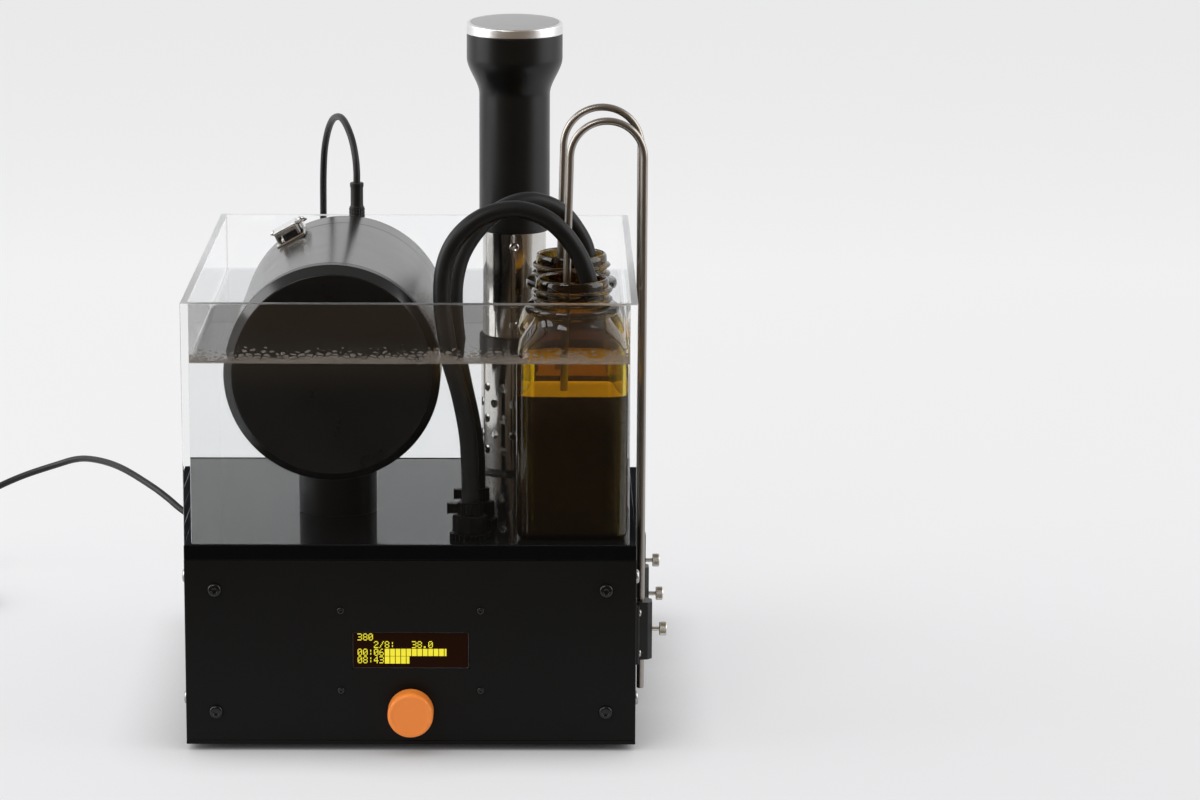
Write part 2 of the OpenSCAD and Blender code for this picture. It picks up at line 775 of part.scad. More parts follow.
module power_inlet() color([0.07, 0.07, 0.07]) in_frame() translate([inlet_x, 0, inlet_z]) difference() {
  union() {
    block([-inlet_w / 2, tank_d - inlet_l, -inlet_h / 2], [inlet_w / 2, tank_d + 1, inlet_h / 2]);
    block([-inlet_w / 2 - inlet_flange, tank_d, -inlet_h / 2 - inlet_flange],
          [inlet_w / 2 + inlet_flange, tank_d + inlet_flange_t, inlet_h / 2 + inlet_flange]);
  }
  block([-nose_w / 2 - 0.2, tank_d + inlet_flange_t - nose_l - 0.5, -nose_h / 2 - 0.2],
        [nose_w / 2 + 0.2, tank_d + inlet_flange_t + 1, nose_h / 2 + 0.2]);
}

module pump_motor() color([0.5, 0.5, 0.52]) in_frame() on_pump_axis() difference() {
  union() {
    rod_y(pump_r, pump_back, pump_back + pump_flange_t);
    rod_y(pump_can_r, pump_back + pump_flange_t - 1, pump_back + pump_flange_t + pump_can_l);
  }
  rod_y(pump_shaft_r + run_fit, pump_back - 1, pump_back + pump_seat_l + 2);
}

module pump_head() color([0.12, 0.12, 0.13]) in_frame() difference() {
  union() {
    on_pump_axis() rod_y(pump_r, pump_y, pump_back);
    block([pump_x - 16, pump_y, plate_z], [pump_x + 16, pump_back, pump_z - pump_r * 0.7]);
    translate([pump_x, pedestal_y, pump_z]) cylinder(r = port_r + port_wall, h = outlet_z - pump_z);
    translate([pump_x, pedestal_y, pump_z]) rod_x(port_r + 2, -pump_r - 14, 0);
  }
  on_pump_axis() rod_y(pump_r - pump_wall, pump_y + pump_wall, pump_back + 1);
  translate([pump_x, pedestal_y, pump_z]) cylinder(r = port_r, h = slab_z - pump_z);
  translate([pump_x, pedestal_y, pump_z]) rod_x(port_r - 1, -pump_r - 15, 0);
  on_pump_axis() rod_y(pump_shaft_r + run_fit, pump_y + pump_wall - 2, pump_y + pump_wall + 1);
}

module pump_impeller() color([0.75, 0.75, 0.7]) in_frame() on_pump_axis() {
  rod_y(pump_shaft_r, pump_y + pump_wall - 1.8, pump_back + pump_seat_l);
  rod_y(pump_hub_r, pump_y + pump_wall + free_gap, pump_back - free_gap);
  for (i = [0:blade_count - 1]) rotate([0, i * 360 / blade_count, 0])
    block([blade_in, pump_y + pump_wall + 0.5, -blade_t / 2],
          [pump_r - pump_wall - 0.6, pump_back - 0.5, blade_t / 2]);
}

module valve_manifold() color([0.75, 0.75, 0.72]) in_frame() translate([manifold_x, manifold_y, plate_z])
  difference() {
    cube([manifold_w, manifold_d, manifold_h]);
    for (i = [0:valve_count - 1]) translate([3 + valve_pitch * (i + 0.5), 0, manifold_h / 2])
      rod_y(port_r, -1, manifold_d / 2);
    translate([0, manifold_d / 2, manifold_h / 2]) rod_x(port_r, -1, manifold_w - 8);
  }

module solenoid_coils() color([0.1, 0.1, 0.12]) in_frame()
  translate([manifold_x, manifold_y + manifold_d / 2, plate_z + manifold_h])
    for (i = [0:valve_count - 1]) translate([3 + valve_pitch * (i + 0.5), 0, 0]) {
      translate([-valve_w / 2, -valve_w / 2, 0]) cube([valve_w, valve_w, coil_h]);
      cylinder(r = 6, h = coil_h + 6);
    }

module cable_gland() color([0.06, 0.06, 0.06]) in_frame() translate([gland_x, 0, gland_z]) {
  rod_y(gland_r, panel_y - 9, tank_d + 1);
  rod_y(gland_r + 3, panel_y - 5, panel_y);
  translate([0, tank_d, 0]) rotate([-90, 0, 0]) cylinder(r = gland_r + 3.5, h = 5, $fn = 6);
  cone_y(gland_r + 2, gland_r - 1, tank_d + 5, tank_d + gland_l);
}

module hose_stubs() color([0.1, 0.1, 0.1]) in_frame() for (x = stub_xs) translate([x, 0, stub_z])
  difference() {
    union() {
      rod_y(stub_r, tank_d + 1, tank_d + stub_l);
      rod_y(stub_r + 5, tank_d, tank_d + 4);
      rod_y(stub_r + 1, panel_y - 12, tank_d + 1);
      translate([0, panel_y - 5, 0]) rotate([-90, 0, 0]) cylinder(r = stub_r + 6, h = 5, $fn = 6);
    }
    rod_y(stub_bore_r, panel_y - 13, tank_d + stub_l + 1);
  }

module tank_floor() color([0.02, 0.02, 0.02]) in_frame() difference() {
  block([-half_w, 0, slab_z], [half_w, tank_d, bath_z]);
  at_fittings() translate([0, 0, slab_z - 1]) cylinder(r = fitting_stub_r + seat_fit, h = floor_t + 2);
  translate([drum_x, pedestal_y, slab_z - 1])
    cylinder(r = port_r + 2 * port_wall + seat_fit, h = floor_t + 2);
}

module tank_end_walls() color([0.85, 0.92, 0.95, 0.35]) in_frame() {
  block([-half_w, 0, bath_z], [half_w, wall_t, rim_z]);
  block([-half_w, tank_d - wall_t, bath_z], [half_w, tank_d, rim_z]);
}

module tank_side_walls() color([0.85, 0.92, 0.95, 0.35]) in_frame()
  for (x = [-half_w, half_w - wall_t])
    block([x, wall_t, bath_z], [x + wall_t, tank_d - wall_t, rim_z]);

module clamp_blocks() color([0.07, 0.07, 0.07]) in_frame() for (y = clamp_ys)
  translate([half_w, y, clamp_mid_z]) difference() {
    union() {
      translate([0, 0, -clamp_h / 2]) linear_extrude(clamp_h) polygon([
        [0, -clamp_w / 2], [clamp_t - clamp_chamfer, -clamp_w / 2],
        [clamp_t, -clamp_w / 2 + clamp_chamfer], [clamp_t, clamp_w / 2 - clamp_chamfer],
        [clamp_t - clamp_chamfer, clamp_w / 2], [0, clamp_w / 2]
      ]);
      block([0, -clamp_w / 2 - flange_w, -clamp_h / 2 - 1], [flange_t, -clamp_w / 2 + 1, clamp_h / 2 - 1]);
    }
    translate([tube_off, 0, -clamp_h / 2 - 1]) cylinder(r = tube_r + run_fit, h = clamp_h + 2);
    rod_x(thumb_screw_r + run_fit, tube_off, clamp_t + 1);
    for (sz = [-1, 1])
      translate([0, -clamp_w / 2 - flange_w / 2, sz * clamp_screw_rise / 2])
        rod_x(small_r + seat_fit, -1, flange_t + 1);
  }

module thumbscrew(y) in_frame() translate([0, y, clamp_mid_z]) {
  rod_x(thumb_screw_r, tube_x + tube_r + 0.1, thumb_in + 1);
  rod_x(thumb_r, thumb_in, thumb_out);
}

module front_thumbscrew() color([0.75, 0.74, 0.7]) thumbscrew(clamp_ys[0]);

module middle_thumbscrew() color([0.75, 0.74, 0.7]) thumbscrew(clamp_ys[1]);

module rear_thumbscrew() color([0.75, 0.74, 0.7]) thumbscrew(clamp_ys[2]);

module pipe(z0, z1) translate([0, 0, z0]) difference() {
  cylinder(r = tube_r, h = z1 - z0);
  translate([0, 0, -1]) cylinder(r = tube_bore_r, h = z1 - z0 + 2);
}

module dip_tube(y, span, apex_z, end_z) in_frame() translate([tube_x, y, 0]) {
  bend_z = apex_z - span / 2;
  pipe(end_z, bend_z);
  translate([-span / 2, 0, bend_z]) rotate([0, leg_lean, 0]) translate([-span / 2, 0, 0])
    pipe(tube_leg_z - bend_z, 0);
  translate([-span / 2, 0, bend_z]) rotate([90, 0, 0]) rotate_extrude(angle = 180 - leg_lean, $fn = 96)
    translate([span / 2, 0]) difference() {
      circle(tube_r);
      circle(tube_bore_r);
    }
}

module front_dip_tube() color([0.7, 0.68, 0.63])
  dip_tube(clamp_ys[0], front_span, front_apex_z, tube_end_z);

module rear_dip_tube() color([0.7, 0.68, 0.63])
  dip_tube(clamp_ys[1], rear_span, rear_apex_z, rear_tube_end_z);

// Square body under a round shoulder, smaller all round by inset
module bottle_body(inset) {
  dome_r = bottle_w / 2 * sqrt(2) - bottle_round * (sqrt(2) - 1) + 0.2;
  core_r = dome_r - shoulder_r;
  intersection() {
    linear_extrude(bottle_h) soft_square(bottle_w - 2 * inset, bottle_round - inset);
    rotate_extrude() {
      square([dome_r - inset, bottle_body_h]);
      square([core_r, bottle_body_h + shoulder_r - inset]);
      translate([core_r, bottle_body_h]) intersection() {
        circle(shoulder_r - inset);
        square(shoulder_r);
      }
    }
  }
}

module bottle(y) in_frame() translate([bottle_x, y, bath_z]) difference() {
  union() {
    bottle_body(0);
    translate([0, 0, bottle_body_h]) cylinder(r = neck_r, h = bottle_h - bottle_body_h);
    translate([0, 0, collar_z]) cylinder(r = collar_r, h = collar_h);
    for (z = [collar_z + collar_h + 2, collar_z + collar_h + 8])
      translate([0, 0, z]) cylinder(r = thread_r, h = thread_h);
  }
  intersection() {
    bottle_body(glass_t);
    translate([0, 0, glass_t + 1]) cylinder(r = bottle_w, h = bottle_h);
  }
  translate([0, 0, bottle_body_h]) cylinder(r = mouth_r, h = bottle_h);
}

module front_bottle() color([0.35, 0.17, 0.03]) bottle(clamp_ys[0]);

module rear_bottle() color([0.35, 0.17, 0.03]) bottle(clamp_ys[1]);

module hose_clamp_ring() difference() {
  union() {
    cylinder(r = hose_r + clamp_ring_t, h = clamp_ring_h, $fn = clamp_teeth);
    block([-hose_r - clamp_ring_t - 7, -3.5, 1], [-hose_r - 1, 3.5, clamp_ring_h - 1]);
  }
  translate([0, 0, -1]) cylinder(r = hose_r + 0.15, h = clamp_ring_h + 2);
}

module hose_fittings() color([0.06, 0.06, 0.06]) in_frame() at_fittings() {
  difference() {
    union() {
      translate([0, 0, bath_z]) cylinder(r = fitting_flange_r, h = fitting_flange_h);
      translate([0, 0, bath_z + fitting_flange_h]) cylinder(r = fitting_nut_r, h = fitting_nut_h, $fn = 8);
      translate([0, 0, slab_z - 14]) cylinder(r = fitting_stub_r, h = floor_t + 15);
    }
    translate([0, 0, slab_z - 15]) cylinder(r = fitting_bore_r, h = fitting_top_z - slab_z + 16);
  }
  difference() {
    translate([0, 0, slab_z - 6]) cylinder(r = fitting_stub_r + 6, h = 6, $fn = 6);
    translate([0, 0, slab_z - 7]) cylinder(r = fitting_stub_r + seat_fit, h = 8);
  }
  translate([0, 0, fitting_top_z]) hose_clamp_ring();
}

module front_hose() color([0.07, 0.07, 0.07]) in_frame() route_tube(front_hose_route, hose_r, 10);

module rear_hose() color([0.07, 0.07, 0.07]) in_frame() route_tube(rear_hose_route, hose_r, 10);

module drum_shell() color([0.2, 0.2, 0.2]) in_frame() difference() {
  on_drum_axis() rod_y(drum_r, shell_y, seam_y);
  on_drum_axis() rod_y(shell_r, shell_y - 1, seam_y + 1);
  translate([drum_x, pedestal_y, drum_z - drum_r - 1]) cylinder(r = port_r + 2, h = drum_t + 4);
}

module front_cap() color([0.12, 0.12, 0.12]) in_frame() on_drum_axis() difference() {
  union() {
    cone_y(drum_r - cap_chamfer, drum_r, drum_y, drum_y + cap_chamfer);
    rod_y(drum_r, drum_y + cap_chamfer, shell_y);
    rod_y(shell_r - seat_fit, shell_y - 1, shell_y + spigot_l);
  }
  rod_y(spindle_r + run_fit, spindle_front - 0.5, shell_y + spigot_l + 1);
}

module rear_cap() color([0.2, 0.2, 0.2]) in_frame() {
  on_drum_axis() difference() {
    union() {
      rod_y(drum_r, seam_y, drum_back);
      rod_y(shell_r - seat_fit, seam_y - spigot_l, seam_y + 1);
    }
    rod_y(spindle_r + run_fit, seam_y - spigot_l - 1, drum_back + 1);
  }
  on_latch() block([-lever_half, catch_y - catch_t, -5], [lever_half, catch_y, pivot_z - 0.5]);
}

module drum_pedestal() color([0.12, 0.12, 0.12]) in_frame() difference() {
  union() {
    translate([drum_x, pedestal_y, bath_z])
      cylinder(r = pedestal_r, h = drum_lift + drum_r - sqrt(pow(drum_r, 2) - pow(pedestal_r, 2)) - 1);
    translate([drum_x, pedestal_y, outlet_z])
      cylinder(r = port_r + 2 * port_wall, h = bath_z - outlet_z + 1);
  }
  on_drum_axis() rod_y(drum_r + seat_fit, drum_y, drum_back);
  translate([drum_x, pedestal_y, outlet_z - 1]) cylinder(r = port_r, h = drum_lift + bath_z - outlet_z + 4);
}

module drum_motor() color([0.12, 0.12, 0.12]) in_frame() {
  on_drum_axis() difference() {
    union() {
      rod_y(motor_r, drum_back, drum_back + motor_l - motor_edge);
      cone_y(motor_r, motor_r - motor_edge, drum_back + motor_l - motor_edge, drum_back + motor_l);
    }
    rod_y(spindle_r + run_fit, drum_back - 1, spindle_back + 0.5);
  }
  translate([plug_x, plug_y, socket_z]) cylinder(r = socket_post_r, h = plug_seat_z - socket_z);
}

module reel_spindle() color([0.7, 0.7, 0.7]) in_frame() on_drum_axis()
  rod_y(spindle_r, spindle_front, spindle_back);

module film_reels() color([0.85, 0.85, 0.82]) in_frame() on_drum_axis() for (i = [0:reel_count - 1])
  translate([0, reel_first_y + i * reel_pitch, 0]) difference() {
    union() {
      rod_y(reel_r, 0, reel_flange_t);
      rod_y(reel_core_r, reel_flange_t - 1, reel_flange_t + reel_gap + 1);
      rod_y(reel_r, reel_flange_t + reel_gap, 2 * reel_flange_t + reel_gap);
    }
    rod_y(spindle_r + seat_fit, -1, reel_pitch);
    for (k = [0:5]) rotate([0, 60 * k, 0]) translate([0.62 * reel_r, 0, 0])
      rod_y(0.22 * reel_r, -1, reel_pitch);
  }

module latch_base() color([0.8, 0.8, 0.8]) in_frame() on_latch() {
  block([-latch_half, -lever_l + 1, 0.02], [latch_half, 4, latch_foot_t]);
  for (sx = [-1, 1]) translate([sx * (latch_half - ear_t / 2), 0, 0])
    block([-ear_t / 2, -2.5, 1], [ear_t / 2, 2.5, pivot_z + 2.5]);
  translate([0, 0, pivot_z]) rod_x(pivot_r, -latch_half, latch_half);
}

module latch_lever() color([0.82, 0.82, 0.82]) in_frame() on_latch() difference() {
  union() {
    translate([0, 0, pivot_z]) rod_x(2.4, -lever_half, lever_half);
    block([-lever_half, -lever_l, lever_z], [lever_half, -1, lever_z + lever_t]);
    for (sx = [-1, 1]) translate([sx * (lever_half - cheek_t / 2), 0, 0])
      block([-cheek_t / 2, -lever_l + 1, latch_foot_t + 1], [cheek_t / 2, 0, lever_z + 0.4]);
    block([-lever_half, -lever_l, lever_z - 1.6], [lever_half, -lever_l + lever_t, lever_z + 0.4]);
  }
  translate([0, 0, pivot_z]) rod_x(pivot_r + run_fit, -latch_half, latch_half);
  translate([0, bail_y, bail_z]) rod_x(bail_r + run_fit, -latch_half, latch_half);
}

module latch_bail() color([0.82, 0.82, 0.82]) in_frame() on_latch() {
  leg_x = latch_half + bail_r + free_gap;
  leg_r = bail_r * 0.9;
  pin_in = lever_half - cheek_t;
  leg_l = norm([bail_bar_y - bail_y, bail_bar_z - bail_z]);
  leg_tilt = atan2(bail_z - bail_bar_z, bail_bar_y - bail_y);
  for (x = [-leg_x, leg_x])
    translate([x, bail_y, bail_z]) rotate([-90 - leg_tilt, 0, 0]) cylinder(r = leg_r, h = leg_l);
  translate([0, bail_y, bail_z]) {
    rod_x(bail_r, -leg_x - bail_r, -pin_in);
    rod_x(bail_r, pin_in, leg_x + bail_r);
  }
  translate([0, bail_bar_y, bail_bar_z]) rod_x(bail_r, -leg_x - bail_r, leg_x + bail_r);
}

module cable_plug() color([0.06, 0.06, 0.06]) in_frame() translate([plug_x, plug_y, plug_seat_z]) {
  cylinder(r = 5.6, h = plug_nut_h);
  cylinder(r = 4.5, h = plug_top_z - plug_seat_z - 3);
  translate([0, 0, plug_top_z - plug_seat_z - 3]) cylinder(r = 4.9, h = 3);
}

module motor_cable() color([0.08, 0.08, 0.08]) in_frame() route_tube(motor_cable_route, lead_r, 8);

// Height of the cap's dome at a share of its radius
function dome_at(share) = dome_h * (1 - share * share);

module circulator_cap() color([0.55, 0.55, 0.56]) in_frame() on_circulator() translate([0, 0, head_z]) {
  cylinder(r = head_r, h = ring_h - ring_edge);
  translate([0, 0, ring_h - ring_edge]) cylinder(r1 = head_r, r2 = dome_r, h = ring_edge);
  for (i = [0:len(dome_steps) - 2])
    translate([0, 0, ring_h + dome_at(dome_steps[i])])
      cylinder(r1 = dome_r * dome_steps[i], r2 = dome_r * dome_steps[i + 1],
               h = dome_at(dome_steps[i + 1]) - dome_at(dome_steps[i]));
}

// Height and radius of a step of the head's taper
function taper_at(i) = taper_z - (taper_z - body_top_z) * taper_steps[i][0];
function taper_r(i) = head_r - (head_r - body_r) * taper_steps[i][1];

module circulator_head() color([0.06, 0.06, 0.06]) in_frame() on_circulator() difference() {
  union() {
    translate([0, 0, taper_z]) cylinder(r = head_r, h = head_z - taper_z);
    for (i = [0:len(taper_steps) - 2])
      translate([0, 0, taper_at(i + 1)])
        cylinder(r1 = taper_r(i + 1), r2 = taper_r(i), h = taper_at(i) - taper_at(i + 1));
    translate([0, 0, body_z]) cylinder(r = body_r, h = body_top_z - body_z);
    translate([0, 0, head_z - 12]) rod_y(4, head_r - 3, head_r + 4);
  }
  translate([0, 0, body_z - 1]) cylinder(r = sleeve_r + seat_fit, h = sleeve_top_z - body_z + 1);
  translate([0, 0, body_z]) cylinder(r = circ_shaft_r + run_fit, h = 30);
  for (k = [0:2]) rotate([0, 0, 120 * k]) translate([heater_off, 0, body_z])
    cylinder(r = heater_r + seat_fit, h = 20);
}

module circulator_sleeve() color([0.75, 0.74, 0.72]) in_frame() on_circulator() difference() {
  translate([0, 0, sleeve_z]) cylinder(r = sleeve_r, h = sleeve_top_z - sleeve_z);
  translate([0, 0, sleeve_z + 1]) cylinder(r = sleeve_r - sleeve_t, h = sleeve_top_z);
  translate([0, 0, sleeve_z - 1]) cylinder(r = vane_r, h = 3);
  for (row = [0:hole_rows - 1], k = [0:hole_count - 1])
    translate([0, 0, hole_z + row * hole_pitch]) rotate([0, 0, (k + row / 2) * 360 / hole_count])
      rod_x(sleeve_hole_r, sleeve_r - 3 * sleeve_t, sleeve_r + sleeve_t, $fn = 16);
}

module circulator_heater() color([0.6, 0.58, 0.55]) in_frame() on_circulator()
  for (k = [0:2]) rotate([0, 0, 120 * k]) translate([heater_off, 0, sleeve_z + 30])
    cylinder(r = heater_r, h = body_z + 18 - sleeve_z - 30);

module circulator_impeller() color([0.5, 0.5, 0.5]) in_frame() on_circulator() {
  translate([0, 0, vane_z]) cylinder(r = circ_shaft_r, h = body_z + 28 - vane_z);
  translate([0, 0, vane_z]) cylinder(r = 5, h = vane_h);
  for (k = [0:2]) rotate([0, 0, 60 * k]) translate([0, 0, vane_z + 1])
    block([-vane_r, -0.8, 0], [vane_r, 0.8, vane_h - 2]);
}

module wall_clip() color([0.06, 0.06, 0.06]) in_frame() difference() {
  union() {
    block([circ_x - clip_half, circ_y + body_r - 4, rim_z - 1],
          [circ_x + clip_half, tank_d - wall_t - 0.1, clip_top_z + 14]);
    block([circ_x - clip_half, circ_y + body_r - 4, rim_z + 0.1],
          [circ_x + clip_half, jaw_out + jaw_t, clip_top_z]);
    block([circ_x - clip_half, jaw_out, clip_low_z], [circ_x + clip_half, jaw_out + jaw_t, clip_top_z]);
  }
  on_circulator() translate([0, 0, body_z - 1]) cylinder(r = body_r + seat_fit, h = body_cut_l);
  translate([circ_x, 0, clip_screw_z]) rod_y(clip_screw_r + run_fit, jaw_out - 1, jaw_out + jaw_t + 1);
}

module clip_screw() color([0.06, 0.06, 0.06]) in_frame() translate([circ_x, 0, clip_screw_z]) {
  rod_y(clip_screw_r, tank_d + 0.1, jaw_out + jaw_t + 2);
  rod_y(clip_knob_r, jaw_out + jaw_t + 1, jaw_out + jaw_t + 10);
}

module line_socket() color([0.06, 0.06, 0.06]) in_frame() translate([inlet_x, 0, inlet_z]) {
  face = tank_d + inlet_flange_t;
  block([-nose_w / 2, face - nose_l, -nose_h / 2], [nose_w / 2, face + 1, nose_h / 2]);
  block([-socket_body_w / 2, face, -socket_body_h / 2],
        [socket_body_w / 2, face + socket_body_l, socket_body_h / 2]);
  translate([-socket_body_w / 2, relief_y, 0]) rotate([0, -90, 0])
    cylinder(r1 = 6, r2 = lead_r + 0.8, h = relief_l);
}

module power_lead() color([0.07, 0.07, 0.07]) in_frame() route_tube(power_lead_route, lead_r, 8);

module lead_coil() color([0.07, 0.07, 0.07]) in_frame() route_tube(coil_route, lead_r, 6);

module mains_plug() color([0.06, 0.06, 0.06]) in_frame()
  translate([coil_end[0], coil_end[1], coil_end[2]]) rotate([90, 0, 0]) {
    cylinder(r1 = lead_r + 0.8, r2 = 6, h = plug_relief_l);
    translate([0, 0, plug_relief_l]) linear_extrude(plug_l) intersection() {
      square([plug_w, plug_t], center = true);
      circle(plug_w / 2 + 0.5);
    }
    for (sx = [-1, 1]) translate([sx * pin_gap / 2, 0, plug_relief_l + plug_l - 1])
      cylinder(r = pin_r, h = pin_l + 1);
  }

bottom_plate();
front_panel();
rear_panel();
side_panels();
corner_posts();
feet();
panel_screws();
side_screws();
small_screws();
display_module();
encoder_body();
encoder_plunger();
encoder_shaft();
control_knob();
controller_board();
power_inlet();
pump_motor();
pump_head();
pump_impeller();
valve_manifold();
solenoid_coils();
cable_gland();
hose_stubs();
tank_floor();
tank_end_walls();
tank_side_walls();
clamp_blocks();
front_thumbscrew();
middle_thumbscrew();
rear_thumbscrew();
front_dip_tube();
rear_dip_tube();
front_bottle();
rear_bottle();
hose_fittings();
front_hose();
rear_hose();
drum_shell();
front_cap();
rear_cap();
drum_pedestal();
drum_motor();
reel_spindle();
film_reels();
latch_base();
latch_lever();
latch_bail();
cable_plug();
motor_cable();
circulator_cap();
circulator_head();
circulator_sleeve();
circulator_heater();
circulator_impeller();
wall_clip();
clip_screw();
line_socket();
power_lead();
lead_coil();
mains_plug();
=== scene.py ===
"""Looks of an automatic film processor: a clear water bath on a black control box."""

import logging
import math
from dataclasses import dataclass
from enum import Enum

import bmesh
import bpy
from mathutils import Matrix, Vector


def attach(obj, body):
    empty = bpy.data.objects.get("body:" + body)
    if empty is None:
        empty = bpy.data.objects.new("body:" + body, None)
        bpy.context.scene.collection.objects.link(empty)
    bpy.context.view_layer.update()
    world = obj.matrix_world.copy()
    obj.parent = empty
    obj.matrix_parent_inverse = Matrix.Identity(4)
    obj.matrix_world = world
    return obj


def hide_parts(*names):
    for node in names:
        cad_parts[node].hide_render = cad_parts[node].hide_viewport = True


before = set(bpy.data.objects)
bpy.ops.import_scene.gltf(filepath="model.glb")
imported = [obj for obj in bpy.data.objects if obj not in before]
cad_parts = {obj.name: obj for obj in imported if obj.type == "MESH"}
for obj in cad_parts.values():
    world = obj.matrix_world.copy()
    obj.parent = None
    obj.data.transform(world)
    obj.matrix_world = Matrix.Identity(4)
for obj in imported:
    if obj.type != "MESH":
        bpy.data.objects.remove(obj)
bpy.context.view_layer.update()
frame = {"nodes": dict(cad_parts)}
LOG = logging.getLogger("film_processor")
Colour = tuple[float, float, float]
Point = tuple[float, float, float]
Pair = tuple[float, float]
Box = tuple[float, float, float, float]
Spot = tuple[Point, "Axis"]
Socket = bpy.types.NodeSocket
Source = Socket | float | Colour

MM = 0.001
# The source's bench frame has its zero at the middle of the front panel's foot
BENCH_SHIFT = Vector((-9.9, -178.25, 0.0))
BATH_Z = 141.0
WATER_Z = 263.5


def bench(x: float, y: float, z: float) -> Vector:
    """Turns bench millimetres into frame metres.

    Args:
        x: distance to the right of the machine's middle.
        y: distance behind the front panel's face.
        z: height above the standing surface.

    Returns:
        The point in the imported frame.
    """
    return (Vector((x, y, z)) + BENCH_SHIFT) * MM


def local(x: float, y: float, z: float) -> Vector:
    """Turns millimetres of a piece's own frame into metres."""
    return Vector((x, y, z)) * MM


def soft_step(share: float) -> float:
    """Rises smoothly from 0 to 1."""
    return share * share * (3 - 2 * share)


def rounded(low: Pair, high: Pair, corner: float, steps: int) -> list[Pair]:
    """Outline of a rectangle with round corners.

    Args:
        low: centre of its lowest corner's arc.
        high: centre of its highest corner's arc.
        corner: radius of the arcs.
        steps: parts that each arc is cut into.

    Returns:
        The outline's points.
    """
    points = []
    for quarter, (u, v) in enumerate((high, (low[0], high[1]), low, (high[0], low[1]))):
        for k in range(steps + 1):
            a = math.pi / 2 * (quarter + k / steps)
            points.append((u + corner * math.cos(a), v + corner * math.sin(a)))
    return points


class Axis(Enum):
    """Direction that a turned piece points, as the turn that brings +Z there."""

    UP = (0.0, "X")
    BACK = (-90.0, "X")
    FRONT = (90.0, "X")
    RIGHT = (90.0, "Y")
    LEFT = (-90.0, "Y")

    def matrix(self) -> Matrix:
        """Rotation that turns +Z to this direction."""
        angle, about = self.value
        return Matrix.Rotation(math.radians(angle), 4, about)


class Ends(Enum):
    """How the first and last ring of a lofted piece are closed."""

    FLAT = "flat"
    JOINED = "joined"


class FarEnd(Enum):
    """What a cord ends in."""

    OBJECT = "object"
    PLUG = "plug"


class Stiffness(Enum):
    """How easily a cord bends."""

    MEDIUM = "medium"
    STIFF = "stiff"


class Lay(Enum):
    """How a cord lies."""

    LOOSE = "loose"
    COILED = "coiled"


